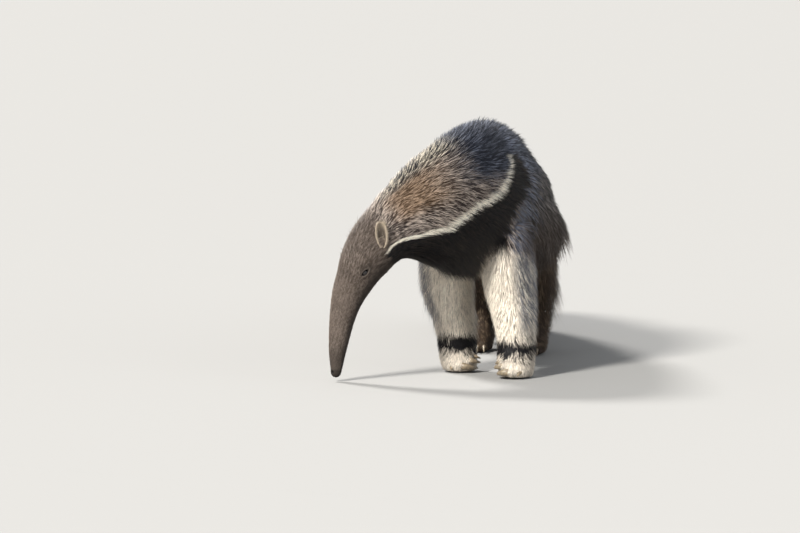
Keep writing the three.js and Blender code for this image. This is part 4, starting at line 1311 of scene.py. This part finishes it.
class ANTEATER_OT_stage(bpy.types.Operator):
    """Pale floor, soft lights and the camera"""

    bl_idname = "anteater.stage"
    bl_label = "Stage"

    def execute(self, context):
        scene = context.scene
        sizes = scene.anteater_sizes
        bpy.ops.object.select_all(action="DESELECT")
        bpy.ops.mesh.primitive_plane_add(size=90, location=(0, 0, 0))
        floor = context.active_object
        floor.name = "studio_floor"
        material, nodes, _ = node_material("pale_floor")
        nodes["Principled BSDF"].inputs["Base Color"].default_value = (*scene.anteater_colours.floor, 1)
        nodes["Principled BSDF"].inputs["Roughness"].default_value = 0.9
        floor.data.materials.append(material)

        azimuth, elevation = math.radians(10), math.radians(5)
        right = np.array([math.cos(azimuth), math.sin(azimuth), 0])
        towards = np.array(
            [math.sin(azimuth) * math.cos(elevation), -math.cos(azimuth) * math.cos(elevation), math.sin(elevation)]
        )
        up = np.cross(towards, right)
        origin = to_metres([0, 0, 0])
        target = origin + right * (400 - 490) / 400 + up * (374 - 266.5) / 400
        place = target + towards * sizes.camera_distance
        camera_data = bpy.data.cameras.new("camera")
        camera_data.lens = sizes.camera_lens
        camera_data.sensor_width = 36
        camera_data.clip_end = 200
        camera = bpy.data.objects.new("camera", camera_data)
        scene.collection.objects.link(camera)
        camera.location = place
        camera.rotation_euler = (math.pi / 2 - elevation, 0, azimuth)
        scene.camera = camera

        def lamp(name, offset, data, power, colour):
            data.energy = power
            data.color = colour
            light = bpy.data.objects.new(name, data)
            scene.collection.objects.link(light)
            aim = origin + np.array([0, 0.2, 0.35])
            spot = aim + right * offset[0] + np.cross([0, 0, 1.0], right) * offset[1] + np.array([0, 0, offset[2]])
            light.location = spot
            way = unit(spot - aim)
            light.rotation_euler = (math.acos(way[2]), 0, math.atan2(way[1], way[0]) + math.pi / 2)

        def distant(name):
            data = bpy.data.lights.new(name, "SUN")
            data.angle = math.radians(11)
            return data

        wide = bpy.data.lights.new("fill_light", "AREA")
        wide.shape = "DISK"
        wide.size = 6
        lamp("main_light", (-5.0, -6.8, 6.0), distant("main_light"), sizes.key_light, (1, 0.97, 0.92))
        lamp("rim_light", (-4.2, 5.4, 6.0), distant("rim_light"), sizes.key_light * 0.66, (1, 0.98, 0.95))
        lamp("fill_light", (7.0, -6.6, 3.8), wide, sizes.key_light * 25, (0.9, 0.95, 1))
        world = bpy.data.worlds.new("studio")
        world.use_nodes = True
        world.node_tree.nodes["Background"].inputs["Color"].default_value = (0.93, 0.96, 1, 1)
        world.node_tree.nodes["Background"].inputs["Strength"].default_value = 0.55
        scene.world = world
        scene.view_settings.view_transform = "Standard"
        return {"FINISHED"}


class ANTEATER_PT_panel(bpy.types.Panel):
    """Lists the pieces of the anteater"""

    bl_idname = "ANTEATER_PT_panel"
    bl_label = "Giant anteater"
    bl_space_type = "VIEW_3D"
    bl_region_type = "UI"
    bl_category = "Anteater"

    def draw(self, context):
        for operator in OPERATORS:
            self.layout.operator(operator.bl_idname)
        for group in (context.scene.anteater_sizes, context.scene.anteater_colours):
            for key in group.__annotations__:
                self.layout.prop(group, key)


OPERATORS = (
    ANTEATER_OT_stage,
    ANTEATER_OT_skin,
    ANTEATER_OT_eyes,
    ANTEATER_OT_ears,
    ANTEATER_OT_claws,
    ANTEATER_OT_head_coat,
    ANTEATER_OT_neck_coat,
    ANTEATER_OT_body_coat,
    ANTEATER_OT_leg_coat,
    ANTEATER_OT_tail_coat,
)
CLASSES = (AnteaterColours, AnteaterSizes, *OPERATORS, ANTEATER_PT_panel)


def register():
    for cls in CLASSES:
        bpy.utils.register_class(cls)
    bpy.types.Scene.anteater_colours = PointerProperty(type=AnteaterColours)
    bpy.types.Scene.anteater_sizes = PointerProperty(type=AnteaterSizes)


def unregister():
    del bpy.types.Scene.anteater_sizes
    del bpy.types.Scene.anteater_colours
    for cls in reversed(CLASSES):
        bpy.utils.unregister_class(cls)


def main():
    register()
    bpy.ops.anteater.stage()
    bpy.ops.anteater.skin()
    bpy.ops.anteater.eyes()
    bpy.ops.anteater.ears()
    bpy.ops.anteater.claws()
    bpy.ops.anteater.head_coat()
    bpy.ops.anteater.neck_coat()
    bpy.ops.anteater.body_coat()
    bpy.ops.anteater.leg_coat()
    bpy.ops.anteater.tail_coat()


if __name__ == "__main__":
    main()
